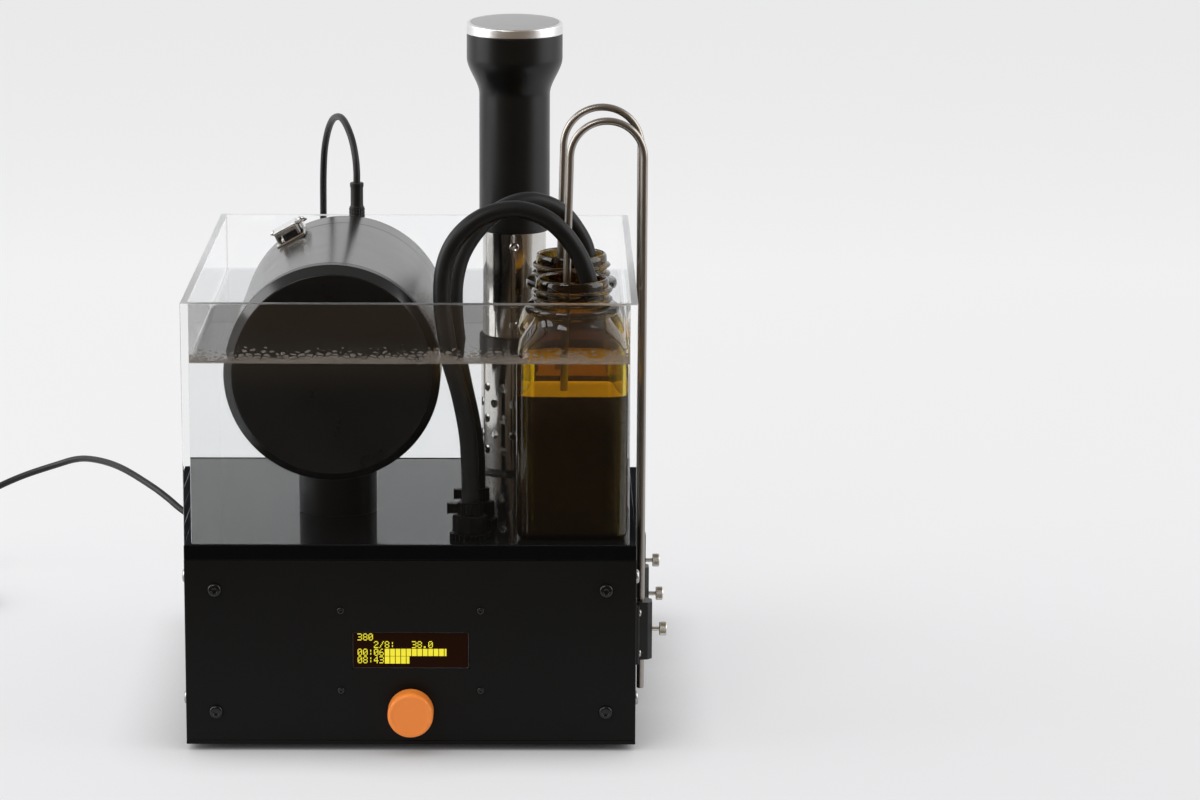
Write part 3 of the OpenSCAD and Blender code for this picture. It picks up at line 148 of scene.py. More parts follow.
class Nodes:
    """Small helper that adds and joins the shader nodes of one tree."""

    def __init__(self, tree: bpy.types.NodeTree) -> None:
        """Keeps the tree that the nodes go into."""
        self.tree = tree

    def feed(self, end: Socket, value: Source) -> None:
        """Links a socket to another one, or sets its number or colour.

        Args:
            end: the socket that takes the value.
            value: a socket, a number, a vector or a colour.
        """
        if isinstance(value, Socket):
            self.tree.links.new(value, end)
        elif end.type == "RGBA":
            end.default_value = (*value, 1.0)
        else:
            end.default_value = value

    def dress(self, node: bpy.types.Node, **values: Source) -> bpy.types.Node:
        """Feeds a node's sockets by name, with _ for each space.

        Args:
            node: the node.
            values: a socket, a number, a vector or a colour for each name.

        Returns:
            The same node.
        """
        for key, value in values.items():
            self.feed(node.inputs[key.replace("_", " ")], value)
        return node

    def add(self, kind: str, **values: object) -> bpy.types.Node:
        """Adds a node and sets its properties and sockets by name.

        Args:
            kind: the node's type name.
            values: properties, or sockets where no property has that name.

        Returns:
            The new node.
        """
        node = self.tree.nodes.new(kind)
        for key in [key for key in values if hasattr(node, key)]:
            setattr(node, key, values.pop(key))
        return self.dress(node, **values)

    def place(self, kind: str = "Object") -> Socket:
        """Texture coordinates of one kind."""
        return self.add("ShaderNodeTexCoord").outputs[kind]

    def split(self, vector: Socket) -> list[Socket]:
        """The three parts of a vector."""
        return list(self.add("ShaderNodeSeparateXYZ", Vector=vector).outputs)

    def stretch(self, vector: Socket, scale: Point) -> Socket:
        """A vector scaled along each axis."""
        return self.add("ShaderNodeMapping", Vector=vector, Scale=scale).outputs[0]

    def noise(self, vector: Socket, scale: Source, detail: float = 2.0, roughness: float = 0.5) -> Socket:
        """Soft noise at a scale."""
        values = {"Vector": vector, "Scale": scale, "Detail": detail, "Roughness": roughness}
        return self.add("ShaderNodeTexNoise", **values).outputs[0]

    def ramp(self, value: Socket, low: float, high: float, start: float = 0.0, end: float = 1.0) -> Socket:
        """Maps the stretch from low to high onto start to end, and holds it there.

        Args:
            value: the socket that gives the number.
            low: number that gives start.
            high: number that gives end.
            start: result at and beyond low.
            end: result at and beyond high.

        Returns:
            The result's socket.
        """
        values = {"Value": value, "From_Min": low, "From_Max": high, "To_Min": start, "To_Max": end}
        return self.add("ShaderNodeMapRange", **values).outputs[0]

    def blend(self, share: Socket, first: Source, second: Source) -> Socket:
        """Mixes two colours by a share.

        Args:
            share: the socket that gives the share.
            first: the colour at share 0.
            second: the colour at share 1.

        Returns:
            The mixed colour's socket.
        """
        node = self.add("ShaderNodeMix", data_type="RGBA")
        for index, value in ((0, share), (6, first), (7, second)):
            self.feed(node.inputs[index], value)
        return node.outputs[2]

    def calc(self, operation: str, *values: Source, clamp: bool = False) -> Socket:
        """Works out one number from others.

        Args:
            operation: what is done with them.
            values: the numbers or sockets that go in.
            clamp: whether the result is held between 0 and 1.

        Returns:
            The result's socket.
        """
        node = self.add("ShaderNodeMath", operation=operation, use_clamp=clamp)
        for end, value in zip(node.inputs, values):
            self.feed(end, value)
        return node.outputs[0]

    def bump(self, height: Socket, strength: float, distance: float) -> Socket:
        """Normals of a fine relief."""
        return self.add("ShaderNodeBump", Height=height, Strength=strength, Distance=distance).outputs[0]

    def layer(self, share: Socket, under: Socket, over: Socket) -> Socket:
        """Mixes two shaders by a share.

        Args:
            share: the socket that gives the share.
            under: the shader at share 0.
            over: the shader at share 1.

        Returns:
            The mixed shader's socket.
        """
        node = self.add("ShaderNodeMixShader")
        for end, value in zip(node.inputs, (share, under, over)):
            self.feed(end, value)
        return node.outputs[0]

    def straight(self, light: bpy.types.bpy_prop_collection) -> Socket:
        """Picks the rays that come from the camera directly or straight through glass and water.

        Args:
            light: the outputs of the tree's Light Path node.

        Returns:
            The socket that is 1 for those rays.
        """
        unmirrored = self.calc("LESS_THAN", light["Glossy Depth"], 0.5)
        through = self.calc("MULTIPLY", light["Is Transmission Ray"], unmirrored)
        return self.calc("MAXIMUM", light["Is Camera Ray"], through)


class SurfaceGroups:
    """Shader node groups that several finishes share."""

    BROAD_SCALE = 14.0
    SPECK_SCALE = 420.0
    SPECK_SHARE = 0.35
    MARK_EDGE = (0.35, 0.7)
    STAIN_SCALE = 0.06

    def __init__(self) -> None:
        """Builds the groups once."""
        self.grain = self._grain()
        self.drawn = self._drawn()

    @staticmethod
    def _group(name: str, inputs: tuple[str, ...], outputs: tuple[str, ...]) -> tuple:
        """Makes an empty group with named sockets.

        Args:
            name: the group's name.
            inputs: names of its inputs, of which Vector is a vector and any other a number.
            outputs: names of its outputs, which are numbers.

        Returns:
            The node helper, the sockets of its input node and its output node.
        """
        tree = bpy.data.node_groups.new(name, "ShaderNodeTree")
        for label in inputs:
            kind = "NodeSocketVector" if label == "Vector" else "NodeSocketFloat"
            tree.interface.new_socket(label, in_out="INPUT", socket_type=kind)
        for label in outputs:
            tree.interface.new_socket(label, in_out="OUTPUT", socket_type="NodeSocketFloat")
        nodes = Nodes(tree)
        return nodes, nodes.add("NodeGroupInput").outputs, nodes.add("NodeGroupOutput")

    def _grain(self) -> bpy.types.NodeTree:
        """Fine moulded or coated grain with broad handling marks.

        Returns:
            The node group.
        """
        nodes, start, end = self._group("surface_grain", ("Vector", "Scale"), ("Tone", "Marks", "Height"))
        broad = nodes.noise(start["Vector"], self.BROAD_SCALE, 4.0, 0.65)
        specks = nodes.noise(start["Vector"], self.SPECK_SCALE)
        tone = nodes.add("ShaderNodeMix", data_type="FLOAT")
        for index, value in ((0, self.SPECK_SHARE), (2, broad), (3, specks)):
            nodes.feed(tone.inputs[index], value)
        fine = nodes.noise(start["Vector"], start["Scale"], 3.0, 0.6)
        marks = nodes.ramp(broad, *self.MARK_EDGE)
        nodes.dress(end, Tone=tone.outputs[0], Marks=marks, Height=fine)
        return nodes.tree

    def _drawn(self) -> bpy.types.NodeTree:
        """Long fine lines of drawn or turned metal, stretched by the vector that comes in.

        Returns:
            The node group.
        """
        nodes, start, end = self._group("drawn_lines", ("Vector",), ("Lines", "Stain"))
        lines = nodes.noise(start["Vector"], 1.0, 4.0, 0.7)
        nodes.dress(end, Lines=lines, Stain=nodes.noise(start["Vector"], self.STAIN_SCALE, 3.0))
        return nodes.tree


GROUPS = SurfaceGroups()


def tint(colour: Colour, share: float) -> Colour:
    """A colour made darker or paler by a share."""
    return tuple(min(1.0, part * share) for part in colour)


def grey(tone: float) -> Colour:
    """A colour with no tint."""
    return (tone, tone, tone)


@dataclass(frozen=True)
class Finish:
    """A named finish of one Principled shader."""

    name: str

    def material(self) -> bpy.types.Material:
        """Builds the finish.

        Returns:
            The material.
        """
        material = bpy.data.materials.new(self.name)
        material.use_nodes = True
        nodes = Nodes(material.node_tree)
        surface = self.wire(nodes, nodes.tree.nodes["Principled BSDF"])
        nodes.dress(nodes.tree.nodes["Material Output"], Surface=surface)
        return material

    def wire(self, nodes: Nodes, shader: bpy.types.Node) -> Socket:
        """Wires the nodes of the finish, which each kind does in its own way.

        Args:
            nodes: the material's node helper.
            shader: its Principled shader.

        Returns:
            The socket that the surface shows.
        """
        raise NotImplementedError


@dataclass(frozen=True)
class Coat(Finish):
    """A moulded, coated or rubber finish with grain and handling marks."""

    colour: Colour
    roughness: float
    specular: float = 0.5
    grain: float = 1500.0
    depth: float = 0.12
    spread: float = 0.12
    wear: float = 0.06
    relief: float = 0.0002
    least: float = 0.02

    def wire(self, nodes: Nodes, shader: bpy.types.Node) -> Socket:
        """Varies tone and gloss with the marks, over a fine relief.

        Args:
            nodes: the material's node helper.
            shader: its Principled shader.

        Returns:
            The socket that the surface shows.
        """
        values = {"node_tree": GROUPS.grain, "Vector": nodes.place(), "Scale": self.grain}
        grain = nodes.add("ShaderNodeGroup", **values).outputs
        dark, pale = tint(self.colour, 1 - self.spread), tint(self.colour, 1 + self.spread)
        tone = nodes.blend(grain["Tone"], dark, pale)
        smooth, rough = max(self.least, self.roughness - self.wear), self.roughness + self.wear
        gloss = nodes.ramp(grain["Marks"], 0.0, 1.0, smooth, rough)
        nodes.dress(shader, Base_Color=tone, Roughness=gloss, Specular_IOR_Level=self.specular)
        if self.depth:
            nodes.dress(shader, Normal=nodes.bump(grain["Height"], self.depth, self.relief))
        return shader.outputs[0]


@dataclass(frozen=True)
class Metal(Finish):
    """A bright metal with drawn or turned lines and faint stains."""

    colour: Colour
    roughness: float
    stretch: Point = (900.0, 900.0, 12.0)
    depth: float = 0.05
    stain: float = 0.12
    spread: float = 0.3
    relief: float = 0.0001

    def wire(self, nodes: Nodes, shader: bpy.types.Node) -> Socket:
        """Lays the lines along the stretch, with stains in the tone.

        Args:
            nodes: the material's node helper.
            shader: its Principled shader.

        Returns:
            The socket that the surface shows.
        """
        vector = nodes.stretch(nodes.place(), self.stretch)
        drawn = nodes.add("ShaderNodeGroup", node_tree=GROUPS.drawn, Vector=vector).outputs
        dark, pale = tint(self.colour, 1 - self.stain), tint(self.colour, 1 + self.stain)
        tone = nodes.blend(drawn["Stain"], dark, pale)
        smooth, rough = self.roughness * (1 - self.spread), self.roughness * (1 + self.spread)
        gloss = nodes.ramp(drawn["Lines"], 0.0, 1.0, smooth, rough)
        lines = nodes.bump(drawn["Lines"], self.depth, self.relief)
        nodes.dress(shader, Base_Color=tone, Roughness=gloss, Metallic=1.0, Normal=lines)
        return shader.outputs[0]


@dataclass(frozen=True)
class Clear(Finish):
    """A clear or tinted see-through finish that lets lamp light past.

    Above frost_above the sawn edge is matt, and above thick_above the wall is thicker and its tint deeper.
    """

    colour: Colour
    ior: float
    ripple: float = 0.0
    ripple_scale: float = 30.0
    smear: float = 0.0
    mirrored: float = 1.5
    passing: Colour = (1.0, 1.0, 1.0)
    frost_above: float = 0.0
    thick_above: float = 0.0
    thick: Colour = (1.0, 1.0, 1.0)
    specular: float = 0.5
    relief: float = 0.002
    frost: float = 0.55
    frost_edge: float = 0.0002
    thick_edge: float = 0.012
    smear_edge: Pair = (0.45, 0.75)
    dull: float = 0.97

    def wire(self, nodes: Nodes, shader: bpy.types.Node) -> Socket:
        """Wires the glass and leaves it out for lamp light and for light that is trapped inside.

        Args:
            nodes: the material's node helper.
            shader: its Principled shader.

        Returns:
            The socket that the surface shows.
        """
        place = nodes.place()
        waves = nodes.noise(place, self.ripple_scale)
        gloss = nodes.ramp(waves, *self.smear_edge, 0.0, self.smear) if self.smear else 0.0
        if self.frost_above:
            height, edge = nodes.split(place)[2], self.frost_above + self.frost_edge
            gloss = nodes.calc("MAXIMUM", gloss, nodes.ramp(height, self.frost_above, edge, 0.0, self.frost))
        tone = nodes.blend(waves, tint(self.colour, self.dull), self.colour)
        if self.thick_above:
            height, edge = nodes.split(place)[2], self.thick_above - self.thick_edge
            tone = nodes.blend(nodes.ramp(height, edge, self.thick_above), tone, self.thick)
        if self.ripple:
            nodes.dress(shader, Normal=nodes.bump(waves, self.ripple, self.relief))
        nodes.dress(shader, Base_Color=tone, Roughness=gloss, Transmission_Weight=1.0)
        nodes.dress(shader, IOR=self.ior, Specular_IOR_Level=self.specular)
        light = nodes.add("ShaderNodeLightPath").outputs
        lamp_light = nodes.calc("MAXIMUM", light["Is Shadow Ray"], light["Is Diffuse Ray"])
        trapped = nodes.calc("GREATER_THAN", light["Glossy Depth"], self.mirrored)
        through = nodes.add("ShaderNodeBsdfTransparent", Color=self.passing).outputs[0]
        return nodes.layer(nodes.calc("MAXIMUM", lamp_light, trapped), shader.outputs[0], through)


@dataclass(frozen=True)
class Liquid(Finish):
    """A dark liquid whose top is painted paler than its sides, a painted glow of the light that falls on it
    from above.
    """

    colour: Colour
    # top: colour of the liquid's top, a painted glow of the light that falls on it from above
    top: Colour
    painted_glow_facing: Pair = (0.3, 0.9)
    gloss: Pair = (0.08, 0.2)
    specular: float = 0.3

    def wire(self, nodes: Nodes, shader: bpy.types.Node) -> Socket:
        """Paints the top paler than the sides by its normal, a painted glow of the light from above.

        Args:
            nodes: the material's node helper.
            shader: its Principled shader.

        Returns:
            The socket that the surface shows.
        """
        up = nodes.split(nodes.place("Normal"))[2]
        # Faces that point up take the top colour: painted light, not a colour of the liquid
        tone = nodes.blend(nodes.ramp(up, *self.painted_glow_facing), self.colour, self.top)
        grain = nodes.add("ShaderNodeGroup", node_tree=GROUPS.grain, Vector=nodes.place()).outputs
        gloss = nodes.ramp(grain["Marks"], 0.0, 1.0, *self.gloss)
        nodes.dress(shader, Base_Color=tone, Roughness=gloss, Specular_IOR_Level=self.specular)
        return shader.outputs[0]


@dataclass(frozen=True)
class Film(Finish):
    """A thin milky film with gaps, which thins out upwards."""

    colour: Colour
    cover: float
    low: float
    high: float
    drop_scale: float = 430.0
    drop_shape: Point = (0.5, 1.0, 1.1)
    drop_edge: Pair = (0.71, 0.77)
    rise_share: float = 0.5
    wave_share: float = 0.7
    wave_scale: float = 55.0
    dull: float = 0.85
    roughness: float = 0.5

    def wire(self, nodes: Nodes, shader: bpy.types.Node) -> Socket:
        """Breaks the film up into drops, fewer of them higher up.

        Args:
            nodes: the material's node helper.
            shader: its Principled shader.

        Returns:
            The socket that the surface shows.
        """
        place = nodes.place()
        rise = nodes.ramp(nodes.split(place)[2], self.high, self.low)
        wavy = nodes.noise(place, self.wave_scale, 4.0)
        long = nodes.stretch(place, self.drop_shape)
        values = {"feature": "DISTANCE_TO_EDGE", "Vector": long, "Scale": self.drop_scale}
        drops = nodes.add("ShaderNodeTexVoronoi", **values).outputs["Distance"]
        dense = nodes.calc("MULTIPLY_ADD", rise, self.rise_share, drops)
        edge = nodes.calc("MULTIPLY_ADD", wavy, self.wave_share, dense)
        tone = nodes.blend(wavy, tint(self.colour, self.dull), self.colour)
        cover = nodes.ramp(edge, *self.drop_edge, 0.0, self.cover)
        nodes.dress(shader, Base_Color=tone, Alpha=cover, Roughness=self.roughness)
        return shader.outputs[0]


@dataclass(frozen=True)
class Glow(Finish):
    """Lit dots of the display."""

    colour: Colour
    strength: float
    unlit: Colour = (0.02, 0.02, 0.0)
    dot_scale: float = 180.0
    dull: float = 0.85

    def wire(self, nodes: Nodes, shader: bpy.types.Node) -> Socket:
        """Varies the light a little from dot to dot.

        Args:
            nodes: the material's node helper.
            shader: its Principled shader.

        Returns:
            The socket that the surface shows.
        """
        spread = nodes.noise(nodes.place(), self.dot_scale)
        tone = nodes.blend(spread, tint(self.colour, self.dull), self.colour)
        nodes.dress(shader, Base_Color=self.unlit)
        nodes.dress(shader, Emission_Color=tone, Emission_Strength=self.strength)
        return shader.outputs[0]


@dataclass(frozen=True)
class FloorPaint(Finish):
    """Pale floor. What lies well before the machine is seen, and adds no light and no reflection."""

    base: Colour = (0.84, 0.84, 0.85)
    # near and far: the glow's colours before the machine and far back, a painted falloff of the light
    near: Colour = (0.72, 0.725, 0.74)
    far: Colour = (0.955, 0.957, 0.968)
    near_y: float = -0.3
    far_y: float = 1.6
    edge_y: float = -0.5
    lit: float = 0.72
    lift: float = 1.13
    shade_reach: float = 0.06
    shade_rays: int = 8
    roughness: float = 0.6
    specular: float = 0.2

    def wire(self, nodes: Nodes, shader: bpy.types.Node) -> Socket:
        """Mixes the lamp-lit floor with its glow, which is painted darker near the machine and paler far
        back, with painted shade from ambient occlusion under and round it, and leaves it out before the edge.

        Args:
            nodes: the material's node helper.
            shader: its Principled shader.

        Returns:
            The socket that the surface shows.
        """
        back = nodes.split(nodes.place())[1]
        tone = nodes.blend(nodes.ramp(back, self.near_y, self.far_y), self.near, self.far)
        light = nodes.add("ShaderNodeLightPath").outputs
        # Ambient occlusion paints shade into the glow under and round the machine
        values = {"samples": self.shade_rays, "Color": tone, "Distance": self.shade_reach}
        shaded = nodes.add("ShaderNodeAmbientOcclusion", **values).outputs["Color"]
        lift = nodes.ramp(light["Is Transmission Ray"], 0.0, 1.0, 1.0, self.lift)
        glow = nodes.add("ShaderNodeEmission", Color=shaded, Strength=lift).outputs[0]
        seen = nodes.calc("MAXIMUM", light["Is Camera Ray"], light["Is Transmission Ray"])
        shown = nodes.calc("MAXIMUM", seen, light["Is Glossy Ray"])
        gloss = {"Roughness": self.roughness, "Specular_IOR_Level": self.specular}
        nodes.dress(shader, Base_Color=self.base, **gloss)
        floor = nodes.layer(nodes.calc("MULTIPLY", shown, self.lit), shader.outputs[0], glow)
        before = nodes.calc("LESS_THAN", back, self.edge_y)
        unseen = nodes.calc("SUBTRACT", before, nodes.straight(light), clamp=True)
        return nodes.layer(unseen, floor, nodes.add("ShaderNodeBsdfTransparent").outputs[0])


class Palette:
    """Every finish of the machine, built once."""

    def __init__(self) -> None:
        """Builds the materials."""
        clear, even = (0.992, 0.999, 1.0), (900.0, 900.0, 900.0)
        self.panel = Coat("black_panel_coat", (0.0045, 0.0045, 0.0044), 0.45, 0.14, 2600.0, 0.2).material()
        self.post = Metal("post_aluminium", (0.6, 0.6, 0.61), 0.35).material()
        self.foot = Coat("foot_rubber", grey(0.012), 0.75, 0.3, 1200.0, 0.3).material()
        self.dark_screw = Coat("blackened_screw", grey(0.003), 0.22, 0.4, 2500.0, 0.1).material()
        self.screw = Metal("bright_screw", (0.36, 0.355, 0.345), 0.28, (500.0, 500.0, 500.0)).material()
        self.knob = Coat("orange_knob", (0.9, 0.262, 0.042), 0.42, 0.4, 2200.0, 0.08, 0.02).material()
        self.board = Coat("circuit_board", (0.012, 0.09, 0.035), 0.4, 0.5, 700.0, 0.2, 0.3).material()
        self.moulded = Coat("moulded_black", grey(0.009), 0.4, 0.4, 1800.0, 0.15).material()
        self.wet_black = Coat("moulded_wet_black", (0.004, 0.004, 0.0037), 0.4, 0.07, 1800.0, 0.15).material()
        self.pale = Coat("moulded_pale", (0.62, 0.62, 0.58), 0.45, 0.5, 1500.0, 0.15).material()
        self.can = Coat("motor_can", (0.25, 0.25, 0.26), 0.4, 0.5, 1400.0, 0.2).material()
        self.slab = Coat("gloss_slab", (0.004, 0.004, 0.0042), 0.07, 0.055, 600.0, 0.0, 0.1, 0.03).material()
        self.wall = Clear("clear_wall", clear, 1.49, 0.0, 30.0, 0.01, 3.5, frost_above=0.3033).material()
        self.wet_wall = Clear("wet_wall", clear, 1.49, 0.0, 30.0, 0.01, 3.5, specular=0.02).material()
        self.water = Clear("bath_water", clear, 1.33, 0.012, 18.0).material()
        self.water_side = Clear("bath_water_side", clear, 1.33, 0.0, 18.0, specular=0.02).material()
        self.amber = Clear(
            "amber_glass", (0.72, 0.56, 0.03), 1.48, 0.02, 40.0, 0.01, 9.0, passing=(0.88, 0.75, 0.42),
            thick_above=0.272, thick=(0.17, 0.105, 0.02),
        ).material()
        # Its second colour is the liquid's top, paler as a painted glow of the light from above
        self.liquid = Liquid("brown_liquid", (0.01, 0.005, 0.0025), (0.8, 0.6, 0.1)).material()
        self.bond = Coat("black_bond", (0.01, 0.011, 0.013), 0.9, 0.0, 300.0, 0.0).material()
        self.film = Film("water_line_film", (0.3, 0.27, 0.24), 0.5, 0.2635, 0.2745).material()
        self.tube = Metal("drawn_tube", (0.34, 0.315, 0.285), 0.32).material()
        self.nickel = Metal("knurled_nickel", (0.66, 0.64, 0.58), 0.3, even).material()
        self.hose = Coat("hose_rubber", grey(0.005), 0.48, 0.28, 900.0, 0.15, 0.2).material()
        self.lead = Coat("lead_sheath", (0.009, 0.009, 0.0095), 0.45, 0.4, 1400.0, 0.1).material()
        self.drum = Coat("drum_satin", (0.012, 0.0115, 0.011), 0.22, 0.6, 2600.0, 0.0, 0.1, 0.02).material()
        self.drum_face = Coat("drum_black", (0.004, 0.004, 0.0039), 0.32, 0.3, 2600.0, 0.0).material()
        self.chamfer = Coat("drum_chamfer", grey(0.006), 0.2, 0.6, 2600.0, 0.0, 0.1, 0.03).material()
        self.spindle = Metal("ground_spindle", grey(0.6), 0.2).material()
        self.chrome = Metal("latch_chrome", (0.8, 0.8, 0.79), 0.07, (400.0, 400.0, 400.0), 0.01).material()
        self.grip = Coat("circulator_black", grey(0.004), 0.34, 0.36, 2400.0, 0.06).material()
        self.cap = Coat("circulator_grey", (0.3, 0.3, 0.305), 0.5, 0.4, 1800.0, 0.12).material()
        self.ring = Metal("bright_ring", grey(0.82), 0.36, (40.0, 40.0, 900.0)).material()
        self.sleeve = Metal("polished_sleeve", (0.62, 0.6, 0.57), 0.1, (60.0, 60.0, 900.0), 0.03).material()
        self.glass = Coat("display_glass", (0.015, 0.0038, 0.001), 0.2, 0.04, 500.0, 0.01, 0.2).material()
        # A paler grey than the glass: a painted highlight of the pane's bevelled edge
        self.edge_highlight = Coat("display_edge_highlight", grey(0.03), 0.25, 0.5, 800.0, 0.0).material()
        self.dots = Glow("display_dots", (0.95, 0.83, 0.03), 1.0).material()


FINISH = Palette()


@dataclass(frozen=True)
class Cut:
    """One ring of a turned piece: round, many-sided or rippled."""

    radius: float
    along: float
    sides: int = 0
    teeth: int = 0
    depth: float = 0.0

    def reach(self, angle: float) -> float:
        """Distance of the ring from the axis at an angle.

        Args:
            angle: the angle round the axis, in radians.

        Returns:
            The distance in millimetres.
        """
        reach = self.radius
        if self.sides:
            part = 2 * math.pi / self.sides
            reach *= math.cos(part / 2) / math.cos(angle % part - part / 2)
        if self.teeth:
            reach -= self.depth * (0.5 - 0.5 * math.cos(self.teeth * angle))
        return reach


def round_cuts(*pairs: Pair) -> list[Cut]:
    """Plain round rings from pairs of radius and distance along the axis."""
    return [Cut(radius, along) for radius, along in pairs]


@dataclass(frozen=True)
class Fit:
    """What a finished piece is called, stands for, rides on and takes its finish from."""

    name: str
    slot: str
    nodes: tuple[str, ...] = ()
    body: str = "base"
    angle: float = 35.0


MERGE_GAP = 2e-6
FLAT_ANGLE = math.radians(0.5)
SHARP_ANGLE = 0.5
UPRIGHT = 0.1


class Workbench:
    """Modelling steps that several pieces share, done with operators."""

    @staticmethod
    def clear() -> None:
        """Leaves edit mode and deselects everything."""
        if bpy.context.object and bpy.context.object.mode != "OBJECT":
            bpy.ops.object.mode_set(mode="OBJECT")
        bpy.ops.object.select_all(action="DESELECT")

    @staticmethod
    def only(piece: bpy.types.Object) -> None:
        """Selects one piece and makes it the active one.

        Args:
            piece: the object to select.
        """
        Workbench.clear()
        piece.select_set(True)
        bpy.context.view_layer.objects.active = piece

    @staticmethod
    def fit(piece: bpy.types.Object, finish: bpy.types.Material, fit: Fit) -> bpy.types.Object:
        """Names, smooths and paints a piece and puts it on its body.

        Args:
            piece: the modelled object.
            finish: its material.
            fit: its name, slot, replaced nodes and body.

        Returns:
            The same object.
        """
        Workbench.only(piece)
        piece.name = fit.name
        piece.data.name = fit.name
        bpy.ops.object.transform_apply(location=True, rotation=True, scale=True)
        bpy.ops.object.shade_smooth_by_angle(angle=math.radians(fit.angle))
        flat = piece.modifiers.new("flat_faces_stay_flat", "WEIGHTED_NORMAL")
        flat.keep_sharp = True
        bpy.ops.object.modifier_apply(modifier=flat.name)
        piece.data.materials.clear()
        piece.data.materials.append(finish)
        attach(piece, fit.body)
        if fit.nodes:
            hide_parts(*fit.nodes)
        LOG.info("built %s", fit.name)
        return piece

    @staticmethod
    def loft(rings: list[list[Vector]], ends: Ends = Ends.FLAT) -> bpy.types.Object:
        """Extrudes a circle's edge from ring to ring and sets each new ring in place.

        Args:
            rings: rings of equally many points.
            ends: whether the end rings are filled or joined to each other.

        Returns:
            The new object, with its place in its mesh.
        """
        Workbench.clear()
        count = len(rings[0])
        bpy.ops.mesh.primitive_circle_add(vertices=count, radius=1.0, fill_type="NOTHING")
        piece = bpy.context.object
        bpy.ops.object.mode_set(mode="EDIT")
        bpy.ops.mesh.select_mode(type="EDGE")
        mesh = bmesh.from_edit_mesh(piece.data)
        mesh.verts.ensure_lookup_table()
        order = [v.index for v in mesh.verts]
        for point, index in zip(rings[0], order):
            mesh.verts[index].co = point
        bmesh.update_edit_mesh(piece.data)
        bpy.ops.mesh.select_all(action="SELECT")
        for ring in rings[1:]:
            bpy.ops.mesh.extrude_edges_move()
            mesh = bmesh.from_edit_mesh(piece.data)
            mesh.verts.ensure_lookup_table()
            behind = {index: place for place, index in enumerate(order)}
            fresh: list[int] = [0] * count
            for vert in (v for v in mesh.verts if v.select):
                for edge in vert.link_edges:
                    other = edge.other_vert(vert).index
                    if other in behind:
                        fresh[behind[other]] = vert.index
            for point, index in zip(ring, fresh):
                mesh.verts[index].co = point
            order = fresh
            bmesh.update_edit_mesh(piece.data)
        bpy.ops.mesh.select_all(action="DESELECT")
        bpy.ops.mesh.select_non_manifold(
            extend=False, use_wire=False, use_multi_face=False, use_non_contiguous=False, use_verts=False
        )
        if ends is Ends.JOINED:
            bpy.ops.mesh.bridge_edge_loops()
        else:
            bpy.ops.mesh.edge_face_add()
        bpy.ops.mesh.select_all(action="SELECT")
        bpy.ops.mesh.normals_make_consistent(inside=False)
        bpy.ops.object.mode_set(mode="OBJECT")
        return piece

    @staticmethod
    def turned(
        cuts: list[Cut], centre: Vector, axis: Axis = Axis.UP, count: int = 96, ends: Ends = Ends.FLAT
    ) -> bpy.types.Object:
        """Lofts rings along an axis, as on a lathe.

        Args:
            cuts: the rings.
            centre: the point that distance zero stands at.
            axis: the way that the distance runs.
            count: points in a ring.
            ends: how the end rings are closed.

        Returns:
            The new object.
        """
        turn = axis.matrix()
        angles = [2 * math.pi * k / count for k in range(count)]
        rings = []
        for cut in cuts:
            spokes = [(cut.reach(a), a) for a in angles]
            ring = [local(r * math.cos(a), r * math.sin(a), cut.along) for r, a in spokes]
            rings.append([centre + turn @ point for point in ring])
        return Workbench.loft(rings, ends)

    @staticmethod
    def swept(
        path: list[Vector], side: Vector, radius: float, bore: float, inside: float = 0.006, count: int = 24
    ) -> bpy.types.Object:
        """Runs a round tube with open ends along a flat path.

        Args:
            path: the tube's centreline.
            side: direction square to the plane that the path lies in.
            radius: outer radius in metres.
            bore: inner radius in metres.
            inside: how deep the bore is modelled at each end.
            count: points round the tube.

        Returns:
            The new object.
        """
        last = len(path) - 1
        angles = [2 * math.pi * k / count for k in range(count)]

        def ring(i: int, reach: float, push: float) -> list[Vector]:
            """One ring of the tube.

            Args:
                i: the point of the path that it stands at.
                reach: its radius.
                push: how far it is moved along the tube.

            Returns:
                The ring's points.
            """
            ahead = (path[min(i + 1, last)] - path[max(i - 1, 0)]).normalized()
            out = ahead.cross(side)
            middle = path[i] + ahead * push
            return [middle + (side * math.cos(a) + out * math.sin(a)) * reach for a in angles]

        ease = 0.3 * MM
        rings = [ring(0, bore, inside), ring(0, bore, 0.0)]
        rings += [ring(0, radius - ease, 0.0), ring(0, radius, ease)]
        rings += [ring(i, radius, 0.0) for i in range(1, last)]
        rings += [ring(last, radius, -ease), ring(last, radius - ease, 0.0)]
        rings += [ring(last, bore, 0.0), ring(last, bore, -inside)]
        return Workbench.loft(rings)

    @staticmethod
    def block(low: Vector, high: Vector, bevel: float = 0.5, segments: int = 2) -> bpy.types.Object:
        """Makes a box with bevelled edges.

        Args:
            low: its lowest corner.
            high: its highest corner.
            bevel: width of the bevel in millimetres.
            segments: steps in the bevel.

        Returns:
            The new object.
        """
        Workbench.clear()
        bpy.ops.mesh.primitive_cube_add(size=1.0, location=(low + high) / 2, scale=high - low)
        bpy.ops.object.transform_apply(location=True, rotation=True, scale=True)
        piece = bpy.context.object
        if bevel:
            bpy.ops.object.mode_set(mode="EDIT")
            bpy.ops.mesh.select_all(action="SELECT")
            bpy.ops.mesh.bevel(offset=bevel * MM, segments=segments, affect="EDGES")
            bpy.ops.object.mode_set(mode="OBJECT")
        return piece

